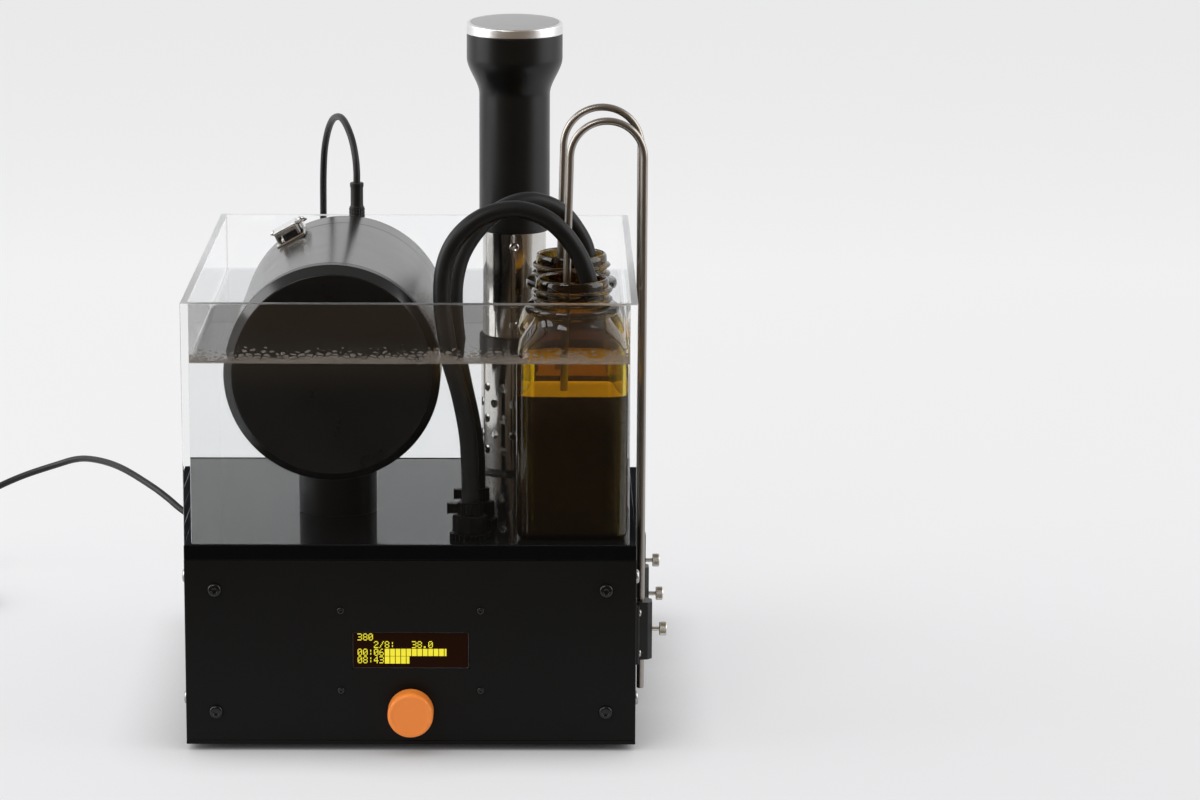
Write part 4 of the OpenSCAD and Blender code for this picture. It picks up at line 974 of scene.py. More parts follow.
    @staticmethod
    def eased(node: str, width: float, longer_than: float = 0.0, segments: int = 2) -> bpy.types.Object:
        """Copies a solid's mesh, merges it and rounds its sharp edges.

        Args:
            node: the solid to copy.
            width: width of the rounding in millimetres.
            longer_than: edges shorter than this many millimetres stay sharp.
            segments: steps in the rounding.

        Returns:
            The new object.
        """
        mesh = frame["nodes"][node].data.copy()
        piece = bpy.data.objects.new(node + "_eased", mesh)
        bpy.context.scene.collection.objects.link(piece)
        Workbench.only(piece)
        bpy.ops.mesh.customdata_custom_splitnormals_clear()
        bpy.ops.object.mode_set(mode="EDIT")
        bpy.ops.mesh.select_all(action="SELECT")
        bpy.ops.mesh.remove_doubles(threshold=MERGE_GAP)
        bpy.ops.mesh.dissolve_limited(angle_limit=FLAT_ANGLE)
        bpy.ops.object.mode_set(mode="OBJECT")
        shape = bmesh.new()
        shape.from_mesh(mesh)
        weight = shape.edges.layers.float.new("bevel_weight_edge")
        for edge in shape.edges:
            if len(edge.link_faces) == 2 and edge.calc_face_angle() > SHARP_ANGLE:
                edge[weight] = float(edge.calc_length() / MM > longer_than)
        shape.to_mesh(mesh)
        shape.free()
        bevel = piece.modifiers.new("rounding", "BEVEL")
        bevel.limit_method = "WEIGHT"
        bevel.width = width * MM
        bevel.segments = segments
        bevel.use_clamp_overlap = False
        bpy.ops.object.modifier_apply(modifier=bevel.name)
        return piece

    @staticmethod
    def merge(pieces: list[bpy.types.Object]) -> bpy.types.Object:
        """Joins pieces into the first one.

        Args:
            pieces: the objects to join.

        Returns:
            The joined object.
        """
        Workbench.clear()
        for piece in pieces:
            piece.select_set(True)
        bpy.context.view_layer.objects.active = pieces[0]
        bpy.ops.object.join()
        return pieces[0]

    @staticmethod
    def spread(master: bpy.types.Object, spots: list[Spot]) -> bpy.types.Object:
        """Copies a piece that was modelled at the origin to several places.

        Args:
            master: the piece, pointing up.
            spots: each copy's place on the bench and the way it points.

        Returns:
            All copies as one object.
        """
        copies = []
        for place, axis in spots:
            copy = bpy.data.objects.new(master.name, master.data.copy())
            bpy.context.scene.collection.objects.link(copy)
            copy.data.transform(Matrix.Translation(bench(*place)) @ axis.matrix())
            copies.append(copy)
        bpy.data.objects.remove(master)
        return Workbench.merge(copies)


def smooth_route(points: list[Vector], steps: int = 8) -> list[Vector]:
    """Runs a smooth line through route points.

    Args:
        points: the route's points.
        steps: parts that each stretch is cut into.

    Returns:
        The line's points, the route's ends included.
    """
    line: list[Vector] = []
    last = len(points) - 1
    for i in range(last):
        a = points[max(i - 1, 0)]
        b, c = points[i], points[i + 1]
        d = points[min(i + 2, last)]
        slope, bow, twist = c - a, 2 * a - 5 * b + 4 * c - d, 3 * b - a - 3 * c + d
        for k in range(steps):
            t = k / steps
            line.append(0.5 * ((2 * b) + slope * t + bow * t ** 2 + twist * t ** 3))
    line.append(points[-1].copy())
    return line


@dataclass(frozen=True)
class Cord:
    """A hose or lead: the solids that it stands for, its size and how it lies."""

    name: str
    nodes: tuple[str, ...]
    radius: float
    slot: str
    far_end: FarEnd = FarEnd.OBJECT
    stiffness: Stiffness = Stiffness.MEDIUM
    lay: Lay = Lay.LOOSE
    carried: tuple[str, ...] = ()

    def build(self, line: list[Vector], finish: bpy.types.Material) -> None:
        """Args:
            line: the points that it follows.
            finish: its material.
        """
        curve = bpy.data.curves.new(self.name, "CURVE")
        curve.dimensions = "3D"
        spline = curve.splines.new("POLY")
        spline.points.add(len(line) - 1)
        for point, place in zip(spline.points, line):
            point.co = (*place, 1.0)
        spline.use_smooth = True
        curve.bevel_depth = self.radius * MM
        curve.bevel_resolution = 5
        curve.use_fill_caps = True
        curve.materials.append(finish)
        piece = bpy.data.objects.new(self.name, curve)
        bpy.context.scene.collection.objects.link(piece)
        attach(piece, "base")
        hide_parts(*self.nodes)


@dataclass(frozen=True)
class Lamp:
    """A soft square lamp that is never seen itself."""

    name: str
    place: Point
    aim: Point
    size: float
    power: float
    mirrored: bool = True

    def build(self) -> None:
        """Hangs the lamp and points it."""
        data = bpy.data.lights.new(self.name, "AREA")
        data.size = self.size
        data.energy = self.power
        lamp = bpy.data.objects.new(self.name, data)
        bpy.context.scene.collection.objects.link(lamp)
        lamp.location = self.place
        lamp.visible_glossy = self.mirrored
        lamp.visible_camera = False
        lamp.visible_transmission = False
        lamp.rotation_euler = (Vector(self.aim) - Vector(self.place)).to_track_quat("-Z", "Y").to_euler()


@dataclass(frozen=True)
class Studio:
    """Camera, soft light, pale floor and background."""

    position: Point = (88.906, -2637.98, 812.39)
    pitch: float = 12.2372
    yaw: float = -0.7863
    roll: float = 0.3193
    focal: float = 4106.7
    photo_width: float = 1200.0
    sensor: float = 36.0
    sight: float = 50.0
    floor_front: float = -8.0
    floor_back: float = 14.0
    floor_half: float = 10.0
    floor_z: float = -0.0004
    white: Colour = (0.86, 0.862, 0.87)
    room: Colour = (0.19, 0.135, 0.085)
    room_low: Colour = (0.03, 0.027, 0.024)
    ceiling: Colour = (0.42, 0.42, 0.42)
    room_edge: Pair = (-0.211, -0.197)
    ceiling_edge: Pair = (0.45, 0.85)
    front_edge: Pair = (-0.7, -0.1)
    lamps: tuple[Lamp, ...] = (
        Lamp("top_lamp", (-0.3, -0.1, 2.2), (0, 0, 0.2), 1.8, 16.0, False),
        Lamp("front_lamp", (-1.2, -2.2, 2.4), (0, 0, 0.2), 1.2, 24.0),
        Lamp("left_lamp", (-1.7, -0.15, 0.95), (0, -0.05, 0.2), 1.5, 24.0),
        Lamp("right_lamp", (1.7, -0.15, 0.95), (0, -0.05, 0.2), 1.5, 17.0),
    )

    def build(self) -> None:
        """Sets the whole studio up."""
        self._camera()
        self._world()
        for lamp in self.lamps:
            lamp.build()
        self._floor()
        bpy.context.scene.view_settings.view_transform = "Standard"

    def _camera(self) -> None:
        """Places the camera at the photograph's viewing point."""
        p, y, r = (math.radians(v) for v in (self.pitch, self.yaw, self.roll))
        ahead = Vector((-math.sin(y) * math.cos(p), math.cos(y) * math.cos(p), -math.sin(p)))
        right = Vector((math.cos(y), math.sin(y), 0.0))
        up = right.cross(ahead)
        across = right * math.cos(r) + up * math.sin(r)
        top = up * math.cos(r) - right * math.sin(r)
        data = bpy.data.cameras.new("camera")
        data.sensor_width = self.sensor
        data.lens = self.focal / self.photo_width * self.sensor
        data.clip_end = self.sight
        camera = bpy.data.objects.new("camera", data)
        bpy.context.scene.collection.objects.link(camera)
        turn = Matrix((across, top, -ahead)).transposed().to_4x4()
        camera.matrix_world = Matrix.Translation(bench(*self.position)) @ turn
        bpy.context.scene.camera = camera

    def _world(self) -> None:
        """White background, with the room before the machine left dim for what its front faces mirror."""
        world = bpy.data.worlds.new("studio")
        bpy.context.scene.world = world
        world.use_nodes = True
        nodes = Nodes(world.node_tree)
        _, back, up = nodes.split(nodes.place("Generated"))
        room = nodes.blend(nodes.ramp(up, *self.room_edge), self.room_low, self.room)
        sky = nodes.blend(nodes.ramp(up, *self.ceiling_edge), self.white, self.ceiling)
        tone = nodes.blend(nodes.ramp(back, *self.front_edge), room, sky)
        light = nodes.add("ShaderNodeLightPath").outputs
        seen = nodes.blend(nodes.straight(light), tone, self.white)
        nodes.dress(world.node_tree.nodes["Background"], Color=seen)

    def _floor(self) -> None:
        """Lays the floor under the machine."""
        Workbench.clear()
        middle = (self.floor_back + self.floor_front) / 2
        bpy.ops.mesh.primitive_plane_add(size=1.0, location=(0, middle, self.floor_z))
        floor = bpy.context.object
        floor.scale = (2 * self.floor_half, self.floor_back - self.floor_front, 1.0)
        floor.name = "floor"
        bpy.ops.object.transform_apply(location=True, rotation=True, scale=True)
        floor.data.materials.append(FloorPaint("pale_floor").material())


@dataclass(frozen=True)
class CordSet:
    """The two hoses, the motor cable and the power lead with its coil."""

    front_hose: tuple[Point, ...] = (
        (39.5, 30, 157), (39.5, 30, 174), (39, 30, 192), (37.5, 30, 213), (32.5, 31, 239),
        (26, 32.5, 262), (22.5, 34, 282), (20.5, 35.5, 302), (22, 37, 321.5), (28, 38.5, 337.2),
        (39, 40, 349.5), (53, 41.5, 357.3), (70, 43, 359.7), (86, 44, 355.3), (98, 45, 346.6),
        (108, 46, 334), (114.5, 47, 321), (118, 47.5, 309), (119.3, 48.5, 298), (119.5, 48.5, 288),
    )
    rear_hose: tuple[Point, ...] = (
        (43, 85, 157), (43, 85, 174), (42.5, 85, 190), (39.5, 86, 212), (34, 87, 238),
        (29.5, 89, 262), (27.5, 92, 283.5), (28, 96, 302), (33, 101, 320), (44, 108, 336),
        (59, 117, 347.3), (76, 126, 351.9), (90, 133, 348.2), (102, 138, 340.2), (110.5, 140.5, 329),
        (116, 141, 318.6), (118, 141, 309), (119.3, 141.5, 298), (119.5, 141.5, 288),
    )
    motor_cable: tuple[Point, ...] = (
        (-45.5, 255, 343), (-45.5, 255.5, 351), (-46.5, 258, 361), (-49, 265, 371.5),
        (-53, 277, 379.5), (-57.5, 292, 383.5), (-62, 307, 382.5), (-66.5, 323, 377),
        (-70.5, 338, 366), (-73.5, 351, 350.5), (-75, 361, 330), (-75.5, 367, 309),
        (-76, 373, 285), (-77, 380, 255), (-78, 386, 222), (-79, 391, 190), (-80, 394.5, 160),
        (-80, 396, 138), (-80, 395, 121), (-80, 391, 107), (-80, 383, 97), (-80, 374, 92.3),
        (-80, 368, 92),
    )
    power_lead: tuple[Point, ...] = (
        (-147, 371, 62), (-158, 371.5, 62.5), (-170, 375.5, 65), (-184.5, 385, 70),
        (-197, 396.5, 77), (-209.5, 410, 82.5), (-232, 440, 88), (-249, 465, 88.5),
        (-266, 487, 86.5), (-279, 500, 83), (-294, 508, 77), (-319, 511, 68), (-339, 507, 60),
        (-356, 500, 52), (-372, 490, 43), (-386, 476, 33), (-397, 459, 23.5), (-405, 441, 15),
        (-410, 423, 8.5), (-412.5, 406, 4.5), (-413.5, 391, 2.8), (-413.5, 377, 2.5),
    )
    hose_r: float = 6.0
    lead_r: float = 2.5
    coil_x: float = -375.0
    coil_y: float = 372.0
    coil_r: float = 38.5
    coil_step: float = 5.6
    coil_rise: float = 5.5
    turns_in: float = 3.0
    turns_out: float = 3.5
    per_turn: int = 48
    last_run: float = 5.0
    tie_near: float = 17.4
    tie_far: float = 42.6
    tie_top: float = 11.6
    tie_half: float = 4.5
    tie_thick: float = 0.8
    tie_bend: float = 3.0

    def build(self) -> None:
        """Makes every cord and the coil's tie."""
        for name, route in (("front_hose", self.front_hose), ("rear_hose", self.rear_hose)):
            hose = Cord(name + "_rubber", (name,), self.hose_r, "hose_rubber", stiffness=Stiffness.STIFF)
            hose.build(self._run(route), FINISH.hose)
        cable = Cord("motor_cable_sheath", ("motor_cable",), self.lead_r, "lead_rubber")
        cable.build(self._run(self.motor_cable), FINISH.lead)
        lead = Cord(
            "power_lead_sheath", ("power_lead", "lead_coil"), self.lead_r, "lead_rubber", FarEnd.PLUG,
            lay=Lay.COILED, carried=("mains_plug",),
        )
        lead.build(self._run(self.power_lead) + self._coil(), FINISH.lead)
        self._tie()

    @staticmethod
    def _run(route: tuple[Point, ...]) -> list[Vector]:
        """Smooth line along a route on the bench."""
        return smooth_route([bench(*point) for point in route])

    def _coil(self) -> list[Vector]:
        """Two layers of turns that spiral in and out again.

        Returns:
            The coil's centreline.
        """
        inner, half = self.coil_r - self.turns_in * self.coil_step, 0.5
        line = []
        for i in range(int((self.turns_in + half + self.turns_out) * self.per_turn) + 1):
            turn = i / self.per_turn
            if turn < self.turns_in + half / 2:
                radius = self.coil_r - self.coil_step * turn
            else:
                radius = inner + self.coil_step * (turn - self.turns_in - half)
            climb = min(max((turn - self.turns_in) / half, 0.0), 1.0)
            angle = math.pi + 2 * math.pi * turn
            x, y = self.coil_x + radius * math.cos(angle), self.coil_y + radius * math.sin(angle)
            line.append(bench(x, y, self.lead_r + self.coil_rise * soft_step(climb)))
        line.append(line[-1] + local(0, -self.last_run, 0))
        return line

    def _tie(self) -> None:
        """Wraps a soft tie round the coil's turns."""
        bend, half, thick = self.tie_bend, self.tie_half, self.tie_thick
        low = (self.coil_x + self.tie_near + bend, bend)
        high = (self.coil_x + self.tie_far - bend, self.tie_top - bend)
        loops = []
        for inset, side in ((0.0, -half), (0.0, half), (thick, half), (thick, -half)):
            outline = rounded(low, high, bend - inset, 5)
            loops.append([bench(x, self.coil_y + side, z) for x, z in outline])
        piece = Workbench.loft(loops, Ends.JOINED)
        Workbench.fit(piece, FINISH.lead, Fit("lead_tie", "lead_rubber"))


@dataclass(frozen=True)
class SocketScrew:
    """A round-headed screw with a hexagon socket, modelled once and copied."""

    head_r: float
    head_h: float
    socket_r: float

    def build(self, spots: list[Spot]) -> bpy.types.Object:
        """Models the head and sets a copy at each place.

        Args:
            spots: each screw's place and the way its head points.

        Returns:
            All the screws as one object.
        """
        r, h, s = self.head_r, self.head_h, self.socket_r
        cuts = round_cuts((0.97 * r, -0.3), (r, 0.0), (r, 0.2 * h), (0.96 * r, 0.5 * h), (0.86 * r, 0.78 * h))
        cuts += round_cuts((0.73 * r, 0.95 * h), (0.6 * r, h))
        cuts += [Cut(1.08 * s, h, 6), Cut(s, 0.93 * h, 6), Cut(s, 0.25 * h, 6), Cut(0.3 * s, 0.12 * h, 6)]
        return Workbench.spread(Workbench.turned(cuts, Vector(), Axis.UP, 48), spots)


@dataclass(frozen=True)
class Housing:
    """Black box under the tank: panels, screws, feet and the control knob."""

    half: float = 150.0
    depth: float = 350.0
    ease: float = 0.6
    panel_screw: SocketScrew = SocketScrew(4.8, 2.2, 2.16)
    small_screw: SocketScrew = SocketScrew(2.6, 1.4, 1.2)
    front_screw_x: float = 130.0
    front_screw_z: Pair = (26.5, 110.5)
    side_screw_y: Pair = (15.0, 335.0)
    side_screw_z: Pair = (32.5, 116.5)
    display_screw: Pair = (46.5, 27.5)
    display_z: float = 69.0
    clamp_y: Point = (43.5, 136.5, 229.5)
    clamp_x: float = 153.0
    clamp_z: float = 69.5
    clamp_screw_z: float = 14.0
    knob_z: float = 28.0

    def build(self) -> None:
        """Builds the panels, the screws and the knob."""
        for node in ("front_panel", "rear_panel", "side_panels", "bottom_plate"):
            piece = Workbench.eased(node, self.ease, 8.0)
            Workbench.fit(piece, FINISH.panel, Fit(node + "_coated", "black_panel", (node,)))
        piece = Workbench.eased("feet", 0.8, 0.0, 3)
        Workbench.fit(piece, FINISH.foot, Fit("feet_rubber", "foot_rubber", ("feet",)))
        self._screws()
        self._knob()

    def _screws(self) -> None:
        """Sets the panel, side, display and clamp screws."""
        x, sides = self.front_screw_x, (-1, 1)
        spots = [((s * x, 0.0, z), Axis.FRONT) for s in sides for z in self.front_screw_z]
        spots += [((s * x, self.depth, z), Axis.BACK) for s in sides for z in self.front_screw_z]
        piece = self.panel_screw.build(spots)
        Workbench.fit(piece, FINISH.dark_screw, Fit("panel_screw_heads", "black_screw", ("panel_screws",)))
        spots = [
            ((s * self.half, y, z), Axis.RIGHT if s > 0 else Axis.LEFT)
            for s in sides for y in self.side_screw_y for z in self.side_screw_z
        ]
        piece = self.panel_screw.build(spots)
        Workbench.fit(piece, FINISH.screw, Fit("side_screw_heads", "bright_screw", ("side_screws",)))
        across, up = self.display_screw
        spots = [((s * across, 0.0, self.display_z + t * up), Axis.FRONT) for s in sides for t in sides]
        piece = self.small_screw.build(spots)
        Workbench.fit(piece, FINISH.dark_screw, Fit("display_screw_heads", "black_screw"))
        up = self.clamp_screw_z
        spots = [((self.clamp_x, y, self.clamp_z + t * up), Axis.RIGHT) for y in self.clamp_y for t in sides]
        piece = self.small_screw.build(spots)
        Workbench.fit(piece, FINISH.screw, Fit("clamp_screw_heads", "bright_screw", ("small_screws",)))

    def _knob(self) -> None:
        """Turns the control knob with its rounded rim and shallow face."""
        cuts = round_cuts(
            (12.5, 1.5), (14.5, 1.5), (15.0, 1.75), (15.25, 2.3), (15.25, 8.0), (15.2, 12.6), (14.95, 13.8),
            (14.45, 14.7), (13.75, 15.25), (13.0, 15.45), (12.4, 15.4), (11.9, 15.2), (11.4, 15.05),
            (10.6, 15.0), (5.0, 15.05),
        )
        piece = Workbench.turned(cuts, bench(0, 0, self.knob_z), Axis.FRONT, 96)
        fit = Fit("control_knob_cap", "knob_orange", ("control_knob",), "knob", 60.0)
        Workbench.fit(piece, FINISH.knob, fit)


@dataclass(frozen=True)
class Tank:
    """Clear walls, black floor and water."""

    half: float = 150.0
    depth: float = 350.0
    wall: float = 5.0
    rim: float = 304.0
    ease: float = 0.5
    corner: float = 0.8
    gap: float = 0.15
    sunk: float = 0.6
    glued: float = 0.4
    climb: float = 1.2
    climb_steps: tuple[Pair, ...] = ((0.5, 0.55), (0.9, 0.4), (1.6, 0.25))
    film_top: float = 274.5

    def _ring(self, inset: float, z: float) -> list[Vector]:
        """A round-cornered rectangle at a height.

        Args:
            inset: distance inside the tank's outer faces.
            z: height above the standing surface.

        Returns:
            The ring's points.
        """
        corner = max(0.2, self.corner - 0.1 * inset)
        x, near, far = self.half - inset - corner, inset + corner, self.depth - inset - corner
        return [bench(u, v, z) for u, v in rounded((-x, near), (x, far), corner, 4)]

    def build(self) -> None:
        """Builds the floor, the walls with their bond, the water and the film on the front wall."""
        piece = Workbench.eased("tank_floor", 0.8, 8.0)
        Workbench.fit(piece, FINISH.slab, Fit("tank_floor_slab", "slab", ("tank_floor",)))
        w, low, high = self.wall, BATH_Z - 0.2, BATH_Z + 0.12
        bond = [(0.4, low), (0.4, high), (w - 0.2, high), (w - 0.2, low)]
        piece = Workbench.loft([self._ring(*ring) for ring in bond], Ends.JOINED)
        Workbench.fit(piece, FINISH.bond, Fit("tank_wall_bond", "slab"))
        self._walls()
        self._water()
        low = bench(-self.half + w + 0.3, w + 0.2, WATER_Z - 0.2)
        high = bench(self.half - w - 0.3, w + 0.5, self.film_top)
        piece = Workbench.block(low, high, 0.08, 1)
        Workbench.fit(piece, FINISH.film, Fit("water_line_film", "clear_wall"))

    def _walls(self) -> None:
        """Lofts the walls and gives their wetted faces a finish that mirrors less."""
        w, e, top = self.wall, self.ease, self.rim
        foot = BATH_Z - self.glued
        rings = [(0.3, foot), (0, top - e), (0.3 * e, top - 0.3 * e), (e, top), (w - e, top)]
        rings += [(w - 0.3 * e, top - 0.3 * e), (w, top - e), (w, WATER_Z + 0.4), (w, foot)]
        piece = Workbench.loft([self._ring(*ring) for ring in rings], Ends.JOINED)
        fit = Fit("tank_clear_walls", "clear_wall", ("tank_end_walls", "tank_side_walls"))
        Workbench.fit(piece, FINISH.wall, fit)
        piece.data.materials.append(FINISH.wet_wall)
        middle = bench(0, self.depth / 2, 0)
        for face in piece.data.polygons:
            inward = (middle - face.center).to_2d().dot(face.normal.to_2d()) > 0
            upright = abs(face.normal.z) < UPRIGHT
            face.material_index = int(inward and upright and face.center.z / MM < WATER_Z)

    def _water(self) -> None:
        """Fills the tank, with the water drawn up a little along the walls."""
        side = self.wall + self.gap
        low = bench(-self.half + side, side, BATH_Z - self.sunk)
        high = bench(self.half - side, self.depth - side, WATER_Z + self.climb)
        piece = Workbench.block(low, high, 0.0)
        Workbench.only(piece)
        bpy.ops.object.mode_set(mode="EDIT")
        bpy.ops.mesh.select_mode(type="FACE")
        bpy.ops.mesh.select_all(action="DESELECT")
        mesh = bmesh.from_edit_mesh(piece.data)
        for face in mesh.faces:
            face.select_set(face.normal.z > 0.9)
        bmesh.update_edit_mesh(piece.data)
        for inset, drop in self.climb_steps:
            bpy.ops.mesh.inset(thickness=inset * MM)
            bpy.ops.transform.translate(value=(0, 0, -drop * MM))
        bpy.ops.object.mode_set(mode="OBJECT")
        Workbench.fit(piece, FINISH.water, Fit("bath_water", "clear_wall", (), "base", 50.0))
        piece.data.materials.append(FINISH.water_side)
        for face in piece.data.polygons:
            face.material_index = int(abs(face.normal.z) < UPRIGHT)


@dataclass(frozen=True)
class Bottle:
    """A square amber bottle with its liquid."""

    name: str
    y: float
    x: float = 107.0
    half: float = 37.0
    corner: float = 11.0
    level: float = 98.0
    wall: float = 3.0
    touch: float = 0.2
    thread_z: Pair = (156.9, 162.8)
    count: int = 96

    def ring(self, z: float, half: float, roundness: float) -> list[Vector]:
        """One ring between a round-cornered square and a circle.

        Args:
            z: height above the tank floor.
            half: half of the ring's width.
            roundness: 0 for the square, 1 for the circle.

        Returns:
            The ring's points.
        """
        points = []
        corner = min(self.corner, half * 0.9)
        flat = half - corner
        for k in range(self.count):
            a = 2 * math.pi * (k + 0.5) / self.count
            c, s = abs(math.cos(a)), abs(math.sin(a))
            reach = half / max(c, s)
            if reach * min(c, s) > flat:
                along = flat * (c + s)
                reach = along + math.sqrt(max(0.0, along * along - 2 * flat * flat + corner * corner))
            radius = reach * (1 - roundness) + half * roundness
            x, y = self.x + radius * math.cos(a), self.y + radius * math.sin(a)
            points.append(bench(x, y, BATH_Z + z))
        return points

    def build(self) -> None:
        """Models the glass and the liquid inside it."""
        h = self.half
        outer = [
            (0.0, h - 5, 0), (0.5, h - 2.6, 0), (2.2, h - 0.8, 0), (5, h, 0), (60, h, 0), (116, h, 0),
            (121, h - 0.3, 0.03), (126, h - 1.4, 0.12), (131, h - 3.4, 0.32), (135.5, h - 6.2, 0.6),
            (139.5, h - 9.4, 0.85), (143, 25.6, 1), (146.6, 24.8, 1), (147.2, 29.8, 1), (148.2, 31.2, 1),
            (150.2, 31.6, 1), (152.2, 31.2, 1), (153.3, 29.8, 1), (153.8, 25.6, 1), (154.6, 24.8, 1),
        ]
        for z in self.thread_z:
            outer += [(z - 1.5, 24.6, 1), (z - 1.1, 26.2, 1), (z, 26.9, 1)]
            outer += [(z + 1.1, 26.2, 1), (z + 1.5, 24.6, 1)]
        outer += [(167.2, 24.4, 1), (169.4, 24.2, 1), (170.6, 23.5, 1)]
        outer += [(171, 22.8, 1), (170.6, 22.0, 1), (169.2, 21.4, 1)]
        inside = h - self.wall
        inner = [
            (160, 21.3, 1), (147, 21.3, 1), (143, 22.4, 1), (139, h - 12.6, 0.85), (134, h - 9, 0.6),
            (129.5, h - 6.2, 0.32), (125, h - 4.2, 0.12), (120.5, h - 3.2, 0.03), (116, inside, 0),
            (60, inside, 0), (10, inside, 0), (6.5, h - 4, 0), (4.6, h - 7, 0), (4.2, h - 12, 0),
        ]
        glass = Workbench.loft([self.ring(*r) for r in outer + inner])
        fit = Fit(self.name + "_glass", "amber_glass", (self.name,), "base", 60.0)
        Workbench.fit(glass, FINISH.amber, fit)
        wet, top = inside + self.touch, self.level
        fill = [(1.4, h - 9, 0), (1.9, h - 5.2, 0), (3.6, h - 3.4, 0), (7.0, wet, 0), (60, wet, 0)]
        fill += [(top - 1.5, wet, 0), (top, wet, 0), (top - 0.6, h - 4.6, 0), (top - 1.0, h - 7, 0)]
        fill.append((top - 1.0, h - 20, 0))
        liquid = Workbench.loft([self.ring(*r) for r in fill])
        Workbench.fit(liquid, FINISH.liquid, Fit(self.name + "_liquid", "amber_glass"))


@dataclass(frozen=True)
class TubeRack:
    """Clamp blocks on the right side, their thumbscrews and the two bent dip tubes."""

    clamp_y: Point = (55.0, 148.0, 241.0)
    mid_z: float = 69.5
    tube_x: float = 154.3
    tube_r: float = 2.5
    bore_r: float = 1.7
    leg_z: float = 159.0
    lean: float = 1.4

    def build(self) -> None:
        """Builds the clamps, the thumbscrews and the tubes."""
        piece = Workbench.eased("clamp_blocks", 0.45, 3.0)
        Workbench.fit(piece, FINISH.moulded, Fit("clamp_block_set", "black_plastic", ("clamp_blocks",)))
        for name, y in zip(("front", "middle", "rear"), self.clamp_y):
            self._thumbscrew(name, y)
        self._tube("front", self.clamp_y[0], 49.0, 417.0, 28.0)
        self._tube("rear", self.clamp_y[1], 53.0, 413.0, 24.0)

    def _thumbscrew(self, name: str, y: float) -> None:
        """Turns a thumbscrew with a knurled head.

        Args:
            name: which clamp it belongs to.
            y: the clamp's distance from the front.
        """
        cuts = round_cuts((1.2, 156.9), (1.5, 157.3), (1.5, 167.0))
        cuts += [Cut(4.2, 167.0), Cut(4.6, 167.4), Cut(4.7, 167.7, 0, 28, 0.35), Cut(4.7, 171.2, 0, 28, 0.35)]
        cuts += round_cuts((4.5, 171.5), (4.0, 172.0), (3.0, 172.0), (2.6, 171.8))
        piece = Workbench.turned(cuts, bench(0, y, self.mid_z), Axis.RIGHT, 112)
        fit = Fit(name + "_thumbscrew_knurled", "nickel", (name + "_thumbscrew",), name + "_screw", 30.0)
        Workbench.fit(piece, FINISH.nickel, fit)

    def _tube(self, name: str, y: float, span: float, apex: float, end_z: float) -> None:
        """Bends one dip tube.

        Args:
            name: which tube it is.
            y: its distance from the front.
            span: distance between its legs.
            apex: height of its bend.
            end_z: height of its outer end.
        """
        radius = span / 2
        bend = apex - radius
        middle = self.tube_x - radius
        path = [bench(self.tube_x, y, end_z + (bend - end_z) * k / 8) for k in range(8)]
        sweep = 180.0 - self.lean
        for k in range(37):
            a = math.radians(sweep * k / 36)
            path.append(bench(middle + radius * math.cos(a), y, bend + radius * math.sin(a)))
        a = math.radians(self.lean)
        top = Vector((middle - radius * math.cos(a), y, bend + radius * math.sin(a)))
        down = Vector((-math.sin(a), 0.0, -math.cos(a)))
        reach = bend - self.leg_z
        path += [bench(*(top + down * reach * k / 8)) for k in range(1, 9)]
        piece = Workbench.swept(path, Vector((0, 1, 0)), self.tube_r * MM, self.bore_r * MM)
        fit = Fit(name + "_dip_tube_bent", "tube_steel", (name + "_dip_tube",), name + "_tube")
        Workbench.fit(piece, FINISH.tube, fit)


